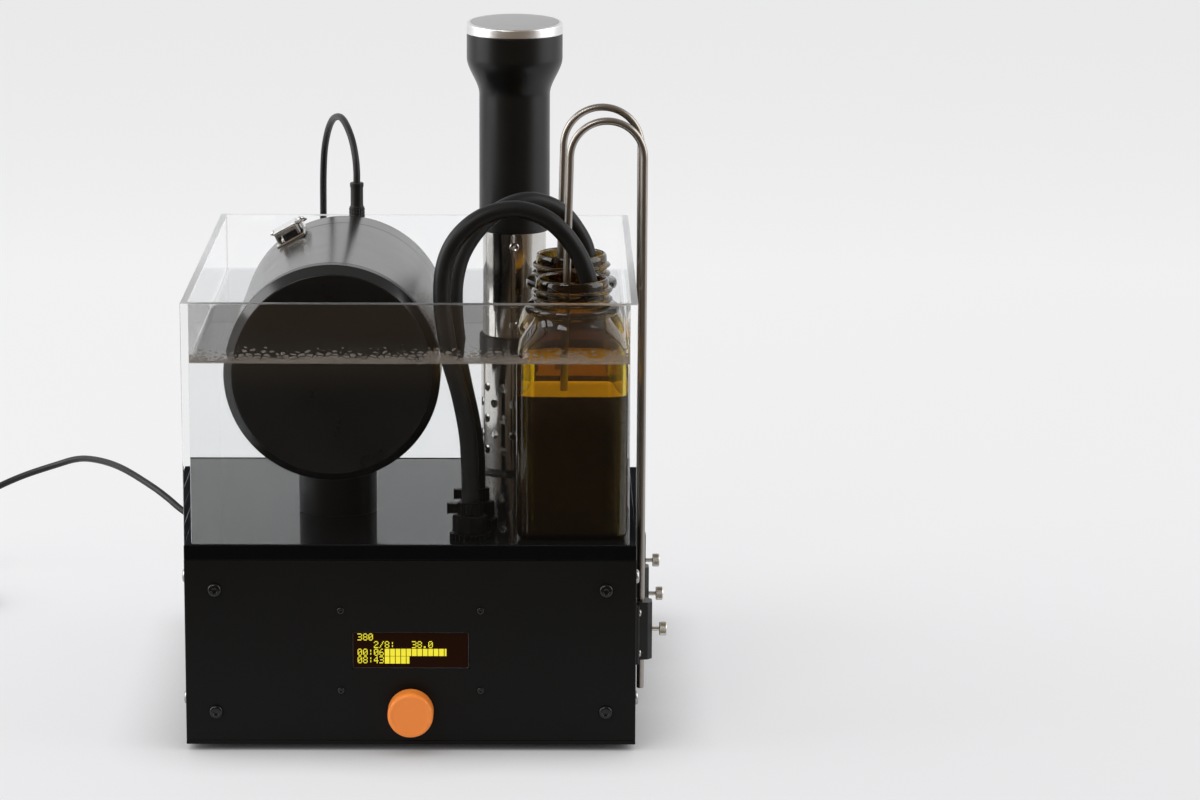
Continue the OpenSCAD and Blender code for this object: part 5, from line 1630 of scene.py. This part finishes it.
@dataclass(frozen=True)
class HoseFittings:
    """Ribbed fittings in the tank floor, each with a ratchet clamp round its hose."""

    places: tuple[Point, Point] = ((39.5, 30.0, BATH_Z), (43.0, 85.0, BATH_Z))
    hose_r: float = 6.0

    def build(self) -> None:
        """Builds both fittings as one piece."""
        pieces = []
        for place in self.places:
            pieces.append(self._stem(bench(*place)))
            pieces.append(self._band(bench(*place)))
            pieces += self._lugs(place)
        piece = Workbench.merge(pieces)
        fit = Fit("hose_fitting_set", "black_plastic", ("hose_fittings",), "base", 30.0)
        Workbench.fit(piece, FINISH.wet_black, fit)

    def _stem(self, foot: Vector) -> bpy.types.Object:
        """Ribbed flange and eight-sided nut, with the stub and hexagon nut under the floor.

        Args:
            foot: the point of the tank floor that it stands on.

        Returns:
            The new object.
        """
        cuts = round_cuts((3.2, -25.0), (5.0, -25.0), (5.0, -16.0))
        cuts += [Cut(10.4, -16.0, 6), Cut(11.0, -15.4, 6), Cut(11.0, -10.6, 6), Cut(10.4, -10.05, 6)]
        cuts += round_cuts((5.0, -10.05), (5.0, -0.5), (13.6, -0.5))
        for rise in (0.0, 1.35, 2.7):
            cuts += [Cut(13.6, rise + 0.05, 0, 24, 0.9), Cut(14.0, rise + 0.35, 0, 24, 1.2)]
            cuts += [Cut(14.0, rise + 0.95, 0, 24, 1.2), Cut(13.5, rise + 1.25, 0, 24, 0.9)]
        cuts += [Cut(11.4, 4.1, 8), Cut(12.0, 4.6, 8), Cut(12.0, 15.2, 8), Cut(11.3, 15.95, 8)]
        cuts += round_cuts((5.6, 15.95), (5.6, 14.0))
        return Workbench.turned(cuts, foot, Axis.UP, 96)

    def _band(self, foot: Vector) -> bpy.types.Object:
        """Toothed band round the hose's end.

        Args:
            foot: the point of the tank floor that it stands on.

        Returns:
            The new object.
        """
        inner = self.hose_r + 0.12
        cuts = round_cuts((inner, 16.1)) + [Cut(8.0, 16.1), Cut(8.6, 16.6, 0, 24, 0.55)]
        cuts += [Cut(8.6, 24.4, 0, 24, 0.55), Cut(8.0, 25.0), Cut(inner, 25.0)]
        return Workbench.turned(cuts, foot, Axis.UP, 96, Ends.JOINED)

    def _lugs(self, place: Point) -> list[bpy.types.Object]:
        """Interlocking toothed ends of the ratchet clamp.

        Args:
            place: the fitting's foot on the bench.

        Returns:
            One bar and its row of teeth.
        """
        x, y, z = place
        pieces = [Workbench.block(bench(x - 15.2, y - 2.6, z + 17.4), bench(x - 7.2, y + 2.6, z + 23.6))]
        for k in range(5):
            left = x - 15.6 + k * 1.6
            low, high = bench(left, y - 3.5, z + 17.0), bench(left + 0.85, y + 3.5, z + 24.0)
            pieces.append(Workbench.block(low, high, 0.2, 1))
        return pieces


@dataclass(frozen=True)
class Drum:
    """Film drum on its pedestal, with its motor and over-centre latch."""

    x: float = -52.5
    z: float = 250.5
    radius: float = 72.0
    wall: float = 4.0
    front: float = 35.0
    seam: float = 49.0
    rear_seam: float = 205.0
    back: float = 235.0
    seam_gap: float = 0.05
    latch_y: float = 199.0
    latch_angle: float = -29.0
    lever_half: float = 8.5
    foot_half: float = 11.0
    sheet: float = 1.3
    pivot_z: float = 8.2
    bore: float = 6.2
    slack: float = 0.3
    plug_x: float = -45.5
    plug_y: float = 255.0

    def build(self) -> None:
        """Builds the caps, the shell, the pedestal, the motor, the latch and the cable's plug."""
        self._front_cap()
        self._shell()
        self._rear_cap()
        for node, width in (("drum_pedestal", 0.3), ("drum_motor", 0.6)):
            piece = Workbench.eased(node, width)
            self._open_bore(piece)
            Workbench.fit(piece, FINISH.drum_face, Fit(node + "_turned", "drum_black", (node,), "base", 25.0))
        self._lever()
        self._latch_base()
        self._bail()
        self._plug()

    def _turn(self, cuts: list[Cut], ends: Ends = Ends.FLAT) -> bpy.types.Object:
        """Turns a piece about the drum's axis."""
        return Workbench.turned(cuts, bench(self.x, 0, self.z), Axis.BACK, 144, ends)

    def _edge(self, at: float, inwards: int) -> list[Cut]:
        """Eased outer edge at a seam, with 1 or -1 for the way that the wall runs from it."""
        r = self.radius
        return round_cuts((r - 0.9, at), (r - 0.3, at + 0.1 * inwards), (r, at + 0.5 * inwards))

    def _front_cap(self) -> None:
        """Turns the front cap, with a thin glossier skin on its chamfer."""
        r, front, seam = self.radius, self.front, self.seam
        cuts = round_cuts(
            (r - 8.0, front), (r - 6.5, front), (r - 6.1, front + 0.1), (r - 5.6, front + 0.4),
            (r - 0.35, front + 5.6), (r - 0.05, front + 6.1), (r, front + 6.6), (r, seam - 0.5),
            (r - 0.35, seam - 0.1), (r - 0.9, seam), (r - 6.0, seam),
        )
        fit = Fit("front_cap_turned", "drum_black", ("front_cap",), "base", 25.0)
        Workbench.fit(self._turn(cuts), FINISH.drum_face, fit)
        skin, lip = 0.08, front + 0.1
        cuts = round_cuts((r - 5.5 + skin, lip + 0.3), (r - 0.4 + skin, lip + 5.4))
        cuts += round_cuts((r - 0.9, lip + 5.2), (r - 5.9, lip + 0.5))
        fit = Fit("front_cap_chamfer", "drum_black", (), "base", 25.0)
        Workbench.fit(self._turn(cuts, Ends.JOINED), FINISH.chamfer, fit)

    def _shell(self) -> None:
        """Turns the shell between the two seams."""
        r, inner = self.radius, self.radius - self.wall
        start, end = self.seam + self.seam_gap, self.rear_seam - self.seam_gap
        cuts = [Cut(inner, start), *self._edge(start, 1), Cut(r, start + 20.0), Cut(r, end - 20.0)]
        cuts += [*reversed(self._edge(end, -1)), Cut(inner, end)]
        fit = Fit("drum_shell_turned", "drum_grey", ("drum_shell",), "base", 25.0)
        Workbench.fit(self._turn(cuts, Ends.JOINED), FINISH.drum, fit)

    def _rear_cap(self) -> None:
        """Turns the rear cap and sets the latch's catch on it."""
        r, start, end = self.radius, self.rear_seam + self.seam_gap, self.back
        cuts = [Cut(r - self.wall, start), *self._edge(start, 1)]
        cuts += round_cuts((r, end - 0.6), (r - 0.2, end - 0.2), (r - 0.7, end), (8.0, end))
        cap = self._turn(cuts)
        half = self.lever_half
        catch = Workbench.block(local(-half, 10.6, -5.0), local(half, 12.4, 7.7), 0.3)
        catch.data.transform(self._latch_place())
        fit = Fit("rear_cap_turned", "drum_grey", ("rear_cap",), "base", 25.0)
        Workbench.fit(Workbench.merge([cap, catch]), FINISH.drum, fit)

    def _open_bore(self, piece: bpy.types.Object) -> None:
        """Widens the spindle's hole a little, so that the turning facets stay clear of it.

        Args:
            piece: the object with the hole.
        """
        middle = bench(self.x, 0, self.z)
        for vert in piece.data.vertices:
            out = Vector((vert.co.x - middle.x, 0.0, vert.co.z - middle.z))
            if out.length < self.bore * MM:
                vert.co += out.normalized() * self.slack * MM

    def _latch_place(self) -> Matrix:
        """Sets the latch's own frame on the drum: across, back and outwards.

        Returns:
            The matrix that does it.
        """
        axis = Matrix.Translation(bench(self.x, self.latch_y, self.z))
        turn = Matrix.Rotation(math.radians(self.latch_angle), 4, "Y")
        return axis @ turn @ Matrix.Translation(local(0, 0, self.radius))

    def _plate(self, piece: bpy.types.Object, name: str, body: str = "base") -> None:
        """Sets a piece of the latch in place and plates it."""
        piece.data.transform(self._latch_place())
        Workbench.fit(piece, FINISH.chrome, Fit(name + "_plated", "latch_chrome", (name,), body))

    def _lever(self) -> None:
        """Folds the lever: a plate with a rolled edge, two cheeks, a cross bar and the hub on the pivot."""
        half, sheet = self.lever_half, self.sheet
        pieces = [Workbench.block(local(-half, -23, 9.9), local(half, -1, 11.4), 0.6, 3)]
        for side in (-half, half - sheet):
            pieces.append(Workbench.block(local(side, -22.2, 3.0), local(side + sheet, 0, 10.4), 0.3))
        for v, w, r in ((-19.0, 7.6, 0.9), (0.0, self.pivot_z, 2.3)):
            cuts = round_cuts((r - 0.3, -half), (r, 0.3 - half), (r, half - 0.3), (r - 0.3, half))
            pieces.append(Workbench.turned(cuts, local(0, v, w), Axis.RIGHT, 24))
        self._plate(Workbench.merge(pieces), "latch_lever", "lever")

    def _latch_base(self) -> None:
        """Folds the latch's foot with its two sloping ears and rivets the pivot in."""
        out = self.foot_half
        ear = [(-9.5, 1.0), (-8.0, 2.4), (-1.8, 10.2), (-1.0, 10.7)]
        ear += [(2.0, 10.7), (2.8, 10.2), (4.0, 6.0), (4.0, 1.0)]
        pieces = [Workbench.block(local(-out, -22, 0.02), local(out, 4, 2), 0.4)]
        for sides in ((-out, 1.5 - out), (out - 1.5, out)):
            pieces.append(Workbench.loft([[local(u, v, w) for v, w in ear] for u in sides]))
        cuts = round_cuts((1.4, 8.6), (1.4, out), (2.2, out), (2.2, out + 0.1), (1.8, out + 0.25))
        for axis in (Axis.LEFT, Axis.RIGHT):
            pieces.append(Workbench.turned(cuts, local(0, 0, self.pivot_z), axis, 24))
        self._plate(Workbench.merge(pieces), "latch_base")

    def _bail(self) -> None:
        """Bends the bail from one wire: pin, leg, hook bar, leg and pin."""
        across, pin, bend, steps = 12.3, 8.6, 2.0, 5
        wire, dimple, deep = 0.95 * MM, 0.2 * MM, 0.4 * MM
        start, end = Vector((0, -4.5, 9.7)), Vector((0, 13.6, 5.2))
        along, length = (end - start).normalized(), (end - start).length
        flat = [(pin, 0.0)]
        for first, middle in ((-90, bend), (0, length - bend)):
            for k in range(steps + 1):
                a = math.radians(first + 90 * k / steps)
                flat.append((across - bend + bend * math.cos(a), middle + bend * math.sin(a)))
        flat += [(-u, v) for u, v in reversed(flat)]
        path = [(start + Vector((u, 0, 0)) + along * v) * MM for u, v in flat]
        piece = Workbench.swept(path, Vector((1, 0, 0)).cross(along), wire, dimple, deep, 16)
        self._plate(piece, "latch_bail", "bail")

    def _plug(self) -> None:
        """Turns the motor cable's plug with its ribbed grip."""
        cuts = round_cuts((4.0, 314.1), (5.3, 314.1), (5.6, 314.5))
        for k in range(4):
            z = 316.0 + 2.3 * k
            cuts += [Cut(5.6, z, 0, 20, 0.35), Cut(5.6, z + 1.6, 0, 20, 0.35)]
            cuts += round_cuts((5.25, z + 1.9), (5.25, z + 2.1))
        cuts += round_cuts((5.4, 325.4), (4.7, 326.0), (4.5, 327.5), (4.5, 339.5), (4.9, 340.2), (4.9, 342.4))
        cuts += round_cuts((4.4, 343.0), (2.6, 343.0))
        piece = Workbench.turned(cuts, bench(self.plug_x, self.plug_y, 0.0), Axis.UP, 80)
        fit = Fit("cable_plug_grip", "black_plastic", ("cable_plug",), "base", 30.0)
        Workbench.fit(piece, FINISH.moulded, fit)


@dataclass(frozen=True)
class Circulator:
    """Immersion circulator clipped to the rear wall."""

    x: float = 66.5
    y: float = 302.0
    head_r: float = 34.5
    body_r: float = 25.5
    head_z: float = 444.0
    taper_z: float = 427.0
    body_top: float = 400.5
    body_z: float = 301.5
    ring_in: float = 31.0
    cap_h: float = 7.0
    cap_edge: float = 32.0
    crown: float = 1.4
    slope: float = 3.4
    slope_h: float = 6.5
    gland_drop: float = 12.0
    sleeve_r: float = 23.0
    sleeve_z: float = 143.0
    sleeve_top: float = 311.5
    groove_z: float = 262.0
    mouth_r: float = 17.5
    hole_r: float = 3.2
    drill_l: float = 6.0
    hole_z: float = 158.0
    hole_pitch: float = 11.3
    hole_rows: int = 5
    row_holes: int = 10
    clip_z: float = 292.0

    def build(self) -> None:
        """Builds the head, the cap and its ring, the sleeve and the clip."""
        centre = bench(self.x, self.y, 0)
        self._head(centre)
        self._cap(centre)
        self._sleeve(centre)
        piece = Workbench.eased("wall_clip", 0.6, 3.0)
        Workbench.fit(piece, FINISH.moulded, Fit("wall_clip_moulded", "black_plastic", ("wall_clip",)))
        cuts = round_cuts((1.5, 350.2), (1.9, 350.6), (1.9, 359.5), (6.5, 359.5), (7.0, 360.0))
        cuts += [Cut(8.6, 360.0, 0, 10, 1.1), Cut(9.0, 360.7, 0, 10, 1.4), Cut(9.0, 368.0, 0, 10, 1.4)]
        cuts += [Cut(8.4, 368.8, 0, 10, 1.1), Cut(7.2, 369.0), Cut(3.0, 369.0)]
        piece = Workbench.turned(cuts, bench(self.x, 0, self.clip_z), Axis.BACK, 120)
        fit = Fit("clip_screw_knob", "black_plastic", ("clip_screw",), "clip_knob", 40.0)
        Workbench.fit(piece, FINISH.moulded, fit)

    def _cap(self, centre: Vector) -> None:
        """Turns the bright ring and the domed cap inside it.

        Args:
            centre: foot of the circulator's axis.
        """
        low, top, r, inner = self.head_z, self.head_z + self.cap_h, self.head_r, self.ring_in
        cuts = round_cuts(
            (inner, low + 0.05), (r - 0.5, low + 0.05), (r, low + 0.5), (r, top - 1.6), (r - 0.2, top - 0.9),
            (r - 0.8, top - 0.3), (r - 1.6, top), (r - 2.4, top - 0.1), (inner, top - 0.4),
        )
        piece = self._slanted(cuts, centre, Ends.JOINED)
        Workbench.fit(piece, FINISH.ring, Fit("circulator_ring", "circ_cap", (), "base", 40.0))
        cuts = round_cuts((30.0, low + 1.0), (32.2, top - 1.0))
        for share in (1.0, 0.97, 0.9, 0.8, 0.65, 0.5, 0.35, 0.2, 0.08):
            cuts.append(Cut(self.cap_edge * share, top + self.crown * (1 - share ** 3) - 0.02))
        piece = self._slanted(cuts, centre, Ends.FLAT)
        fit = Fit("circulator_cap_face", "circ_cap", ("circulator_cap",), "base", 40.0)
        Workbench.fit(piece, FINISH.cap, fit)

    def _slanted(self, cuts: list[Cut], centre: Vector, ends: Ends, count: int = 128) -> bpy.types.Object:
        """Turns a piece of the cap whose top slopes down to the front.

        Args:
            cuts: its rings.
            centre: foot of the circulator's axis.
            ends: how the end rings are closed.
            count: points in a ring.

        Returns:
            The new object.
        """
        rings = []
        for cut in cuts:
            lift = self.slope * max(0.0, cut.along - self.head_z - 0.5) / self.slope_h
            ring = []
            for k in range(count):
                a = 2 * math.pi * k / count
                x, y = cut.radius * math.cos(a), cut.radius * math.sin(a)
                ring.append(centre + local(x, y, cut.along + lift * (y / self.head_r + 1) / 2))
            rings.append(ring)
        return Workbench.loft(rings, ends)

    def _head(self, centre: Vector) -> None:
        """Turns the head that narrows to the grip, with the gland at its rear.

        Args:
            centre: foot of the circulator's axis.
        """
        low, high, foot, top = self.body_r, self.head_r, self.body_z, self.head_z
        cuts = round_cuts((22.0, foot), (low - 1.2, foot), (low - 0.4, foot + 0.3))
        cuts += round_cuts((low, foot + 1.1), (low, foot + 50), (low, self.body_top))
        for k in range(1, 16):
            s = k / 16
            along = self.body_top + (self.taper_z - self.body_top) * s
            cuts.append(Cut(low + (high - low) * soft_step(s), along))
        cuts += round_cuts((high, self.taper_z), (high, top - 0.6), (high - 0.4, top), (self.ring_in, top))
        piece = Workbench.turned(cuts, centre, Axis.UP, 128)
        gland = round_cuts((3.6, 30.0), (4.0, 31.0), (4.0, 38.0), (3.4, 38.5), (2.0, 38.5))
        boss = Workbench.turned(gland, centre + local(0, 0, top - self.gland_drop), Axis.BACK, 48)
        fit = Fit("circulator_grip", "black_plastic", ("circulator_head",), "base", 30.0)
        Workbench.fit(Workbench.merge([piece, boss]), FINISH.grip, fit)

    def _sleeve(self, centre: Vector) -> None:
        """Turns the polished sleeve, bores its rows of holes and adds the button.

        Args:
            centre: foot of the circulator's axis.
        """
        r, inner, groove = self.sleeve_r, self.sleeve_r - 1.0, self.groove_z
        foot, top = self.sleeve_z, self.sleeve_top
        cuts = round_cuts(
            (self.mouth_r, foot), (r - 1.0, foot), (r - 0.2, foot + 0.4), (r, foot + 1.2), (r, groove),
            (r - 0.25, groove + 0.4), (r - 0.25, groove + 0.9), (r, groove + 1.3), (r, top), (inner, top),
            (inner, foot + 1.2), (self.mouth_r, foot + 1.2),
        )
        piece = Workbench.turned(cuts, centre, Axis.UP, 120, Ends.JOINED)
        drills = []
        for row in range(self.hole_rows):
            for k in range(self.row_holes):
                turn = (k + row / 2) * 2 * math.pi / self.row_holes
                Workbench.clear()
                bore = {"radius": self.hole_r * MM, "depth": self.drill_l * MM}
                bpy.ops.mesh.primitive_cylinder_add(vertices=20, **bore)
                drill = bpy.context.object
                out = Vector((math.cos(turn), math.sin(turn), 0.0))
                place = centre + out * (r * MM) + local(0, 0, self.hole_z + row * self.hole_pitch)
                aim = out.to_track_quat("Z", "Y").to_matrix().to_4x4()
                drill.matrix_world = Matrix.Translation(place) @ aim
                drills.append(drill)
        cutter = Workbench.merge(drills)
        Workbench.only(piece)
        holes = piece.modifiers.new("holes", "BOOLEAN")
        holes.operation = "DIFFERENCE"
        holes.solver = "EXACT"
        holes.object = cutter
        bpy.ops.object.modifier_apply(modifier=holes.name)
        bpy.data.objects.remove(cutter)
        cuts = round_cuts((3.3, -0.8), (3.3, 0.0), (3.0, 0.35), (2.5, 0.45))
        cuts += round_cuts((2.1, 0.3), (1.2, -0.2), (0.4, -0.35))
        button = Workbench.turned(cuts, bench(self.x, self.y - r, self.clip_z), Axis.FRONT, 32)
        fit = Fit("circulator_sleeve_bored", "circ_steel", ("circulator_sleeve",), "base", 30.0)
        Workbench.fit(Workbench.merge([piece, button]), FINISH.sleeve, fit)


@dataclass(frozen=True)
class RearSide:
    """Gland, hose stubs, power inlet and line socket, each with the width of its eased edges."""

    widths: tuple[tuple[str, float], ...] = (
        ("cable_gland", 0.4), ("hose_stubs", 0.4), ("power_inlet", 0.5), ("line_socket", 0.8),
    )

    def build(self) -> None:
        """Eases the edges of each moulded piece."""
        for node, width in self.widths:
            piece = Workbench.eased(node, width)
            Workbench.fit(piece, FINISH.moulded, Fit(node + "_moulded", "black_plastic", (node,)))


class CadDress:
    """Finishes of the CAD nodes that stay as they are, most of them inside the machine."""

    def build(self) -> None:
        """Gives each kept node its finish."""
        for finish, names in (
            (FINISH.post, ("corner_posts",)),
            (FINISH.board, ("display_module", "controller_board")),
            (FINISH.screw, ("encoder_body",)),
            (FINISH.spindle, ("encoder_shaft", "reel_spindle")),
            (FINISH.pale, ("encoder_plunger", "pump_impeller", "valve_manifold", "film_reels")),
            (FINISH.moulded, ("mains_plug", "solenoid_coils", "pump_head")),
            (FINISH.can, ("pump_motor",)),
            (FINISH.sleeve, ("circulator_heater", "circulator_impeller")),
        ):
            for name in names:
                slots = frame["nodes"][name].data.materials
                slots.clear()
                slots.append(finish)
                LOG.info("dressed %s", name)


# Rows of lit points of each figure, from the top
GLYPHS = {
    "0": "01110 10001 10011 10101 11001 10001 01110",
    "2": "01110 10001 00001 00110 01000 10000 11111",
    "3": "11110 00001 00001 01110 00001 00001 11110",
    "4": "00010 00110 01010 10010 11111 00010 00010",
    "6": "00110 01000 10000 11110 10001 10001 01110",
    "8": "01110 10001 10001 01110 10001 10001 01110",
    ":": "00000 00100 00100 00000 00100 00100 00000",
    "/": "00001 00010 00010 00100 01000 01000 10000",
    ".": "00000 00000 00000 00000 00000 01100 01100",
    " ": "",
}


@dataclass(frozen=True)
class Display:
    """Dark display window with lit numbers and bars."""

    rows: tuple[str, ...] = ("380", "   2/8:   38.0", "00:06", "08:43")
    bars: tuple[tuple[int, float], ...] = ((2, 11.4), (3, 4.6))
    bar_start: int = 5
    bar_foot: float = 7.3
    bar_height: float = 7.2
    bar_gap: float = 0.5
    width: float = 78.0
    height: float = 25.5
    centre_z: float = 69.0
    left: float = -35.4
    corner: float = 1.5
    clearance: float = 0.15
    frame: float = 0.6
    back: float = 2.95
    lit_y: float = 1.25
    lit_depth: float = 0.0001
    top: float = 11.6
    pitch: float = 3.62
    line: float = 5.25
    rise: float = 0.69
    dot: float = 0.62

    def build(self) -> None:
        """Makes the glass, a paler bevelled rim round it that is a painted highlight of the pane's edge, and
        the lit points and bars.
        """
        inset, back = self.frame, self.back
        pane = [(inset + 0.1, 1.2), (inset, 1.3), (inset, back)]
        glass = Workbench.loft([self._ring(*ring) for ring in pane])
        Workbench.fit(glass, FINISH.glass, Fit("display_glass", "display"))
        # The rim is a real bevel, painted a paler grey than the glass as a highlight of its edge
        highlight_rim = [(0.0, back), (0.0, 1.4), (0.1, 1.2), (0.3, 1.1), (inset, 1.3), (inset, back)]
        edge = Workbench.loft([self._ring(*ring) for ring in highlight_rim], Ends.JOINED)
        Workbench.fit(edge, FINISH.edge_highlight, Fit("display_edge_highlight", "display"))
        self._light(self._figures() + self._bars())

    def _light(self, boxes: list[Box]) -> None:
        """Raises each lit point and bar step a little from the glass.

        Args:
            boxes: left edge, lower edge, width and height of each.
        """
        Workbench.clear()
        bpy.ops.mesh.primitive_plane_add(size=1.0)
        piece = bpy.context.object
        bpy.ops.object.mode_set(mode="EDIT")
        bpy.ops.mesh.select_mode(type="FACE")
        bpy.ops.mesh.select_all(action="SELECT")
        for _ in boxes[1:]:
            bpy.ops.mesh.duplicate()
        mesh = bmesh.from_edit_mesh(piece.data)
        mesh.faces.ensure_lookup_table()
        for face, (x, z, wide, high) in zip(mesh.faces, boxes):
            corners = ((0, 0), (wide, 0), (wide, high), (0, high))
            for vert, (u, w) in zip(face.verts, corners):
                vert.co = bench(x + u, self.lit_y, self.centre_z + z + w)
        bmesh.update_edit_mesh(piece.data)
        bpy.ops.mesh.select_all(action="SELECT")
        bpy.ops.mesh.extrude_region_move(TRANSFORM_OT_translate={"value": (0, -self.lit_depth, 0)})
        bpy.ops.mesh.select_all(action="SELECT")
        bpy.ops.mesh.normals_make_consistent(inside=False)
        bpy.ops.object.mode_set(mode="OBJECT")
        Workbench.fit(piece, FINISH.dots, Fit("display_dots", "display", (), "base", 20.0))
        LOG.info("display shows %d lit points", len(boxes))

    def _ring(self, inset: float, y: float) -> list[Vector]:
        """A round-cornered outline of the pane.

        Args:
            inset: distance inside the panel's opening.
            y: distance behind the panel's face.

        Returns:
            The outline's points.
        """
        margin = self.clearance + self.corner
        x, z = self.width / 2 - margin, self.height / 2 - margin
        outline = rounded((-x, -z), (x, z), self.corner - inset, 5)
        return [bench(u, y, self.centre_z + w) for u, w in outline]

    def _figures(self) -> list[Box]:
        """Lays out the lit points of the rows of figures.

        Returns:
            Left edge, lower edge, width and height of each point.
        """
        boxes = []
        for r, row in enumerate(self.rows):
            for c, letter in enumerate(row):
                for j, dots in enumerate(GLYPHS[letter].split()):
                    for i in (i for i, lit in enumerate(dots) if lit == "1"):
                        x = self.left + c * self.pitch + i * self.pitch / 6
                        boxes.append((x, self.top - r * self.line - (j + 1) * self.rise, self.dot, self.dot))
        return boxes

    def _bars(self) -> list[Box]:
        """Lays out the steps of the bars, the last one as wide as its share.

        Returns:
            Left edge, lower edge, width and height of each step.
        """
        boxes = []
        for r, share in self.bars:
            z = self.top - r * self.line - self.bar_foot * self.rise
            for c in range(math.ceil(share)):
                x = self.left + (self.bar_start + c) * self.pitch
                wide = (self.pitch - self.bar_gap) * min(1.0, share - c)
                boxes.append((x, z, wide, self.bar_height * self.rise))
        return boxes


def main() -> None:
    """Builds the studio and every sub-assembly in order."""
    logging.basicConfig(level=logging.INFO, format="%(message)s")
    bottles = (Bottle("front_bottle", 55.0), Bottle("rear_bottle", 148.0))
    for assembly in (
        Studio(), CordSet(), CadDress(), Housing(), Tank(), *bottles, TubeRack(), HoseFittings(), Drum(),
        Circulator(), RearSide(), Display(),
    ):
        assembly.build()


if __name__ == "__main__":
    main()
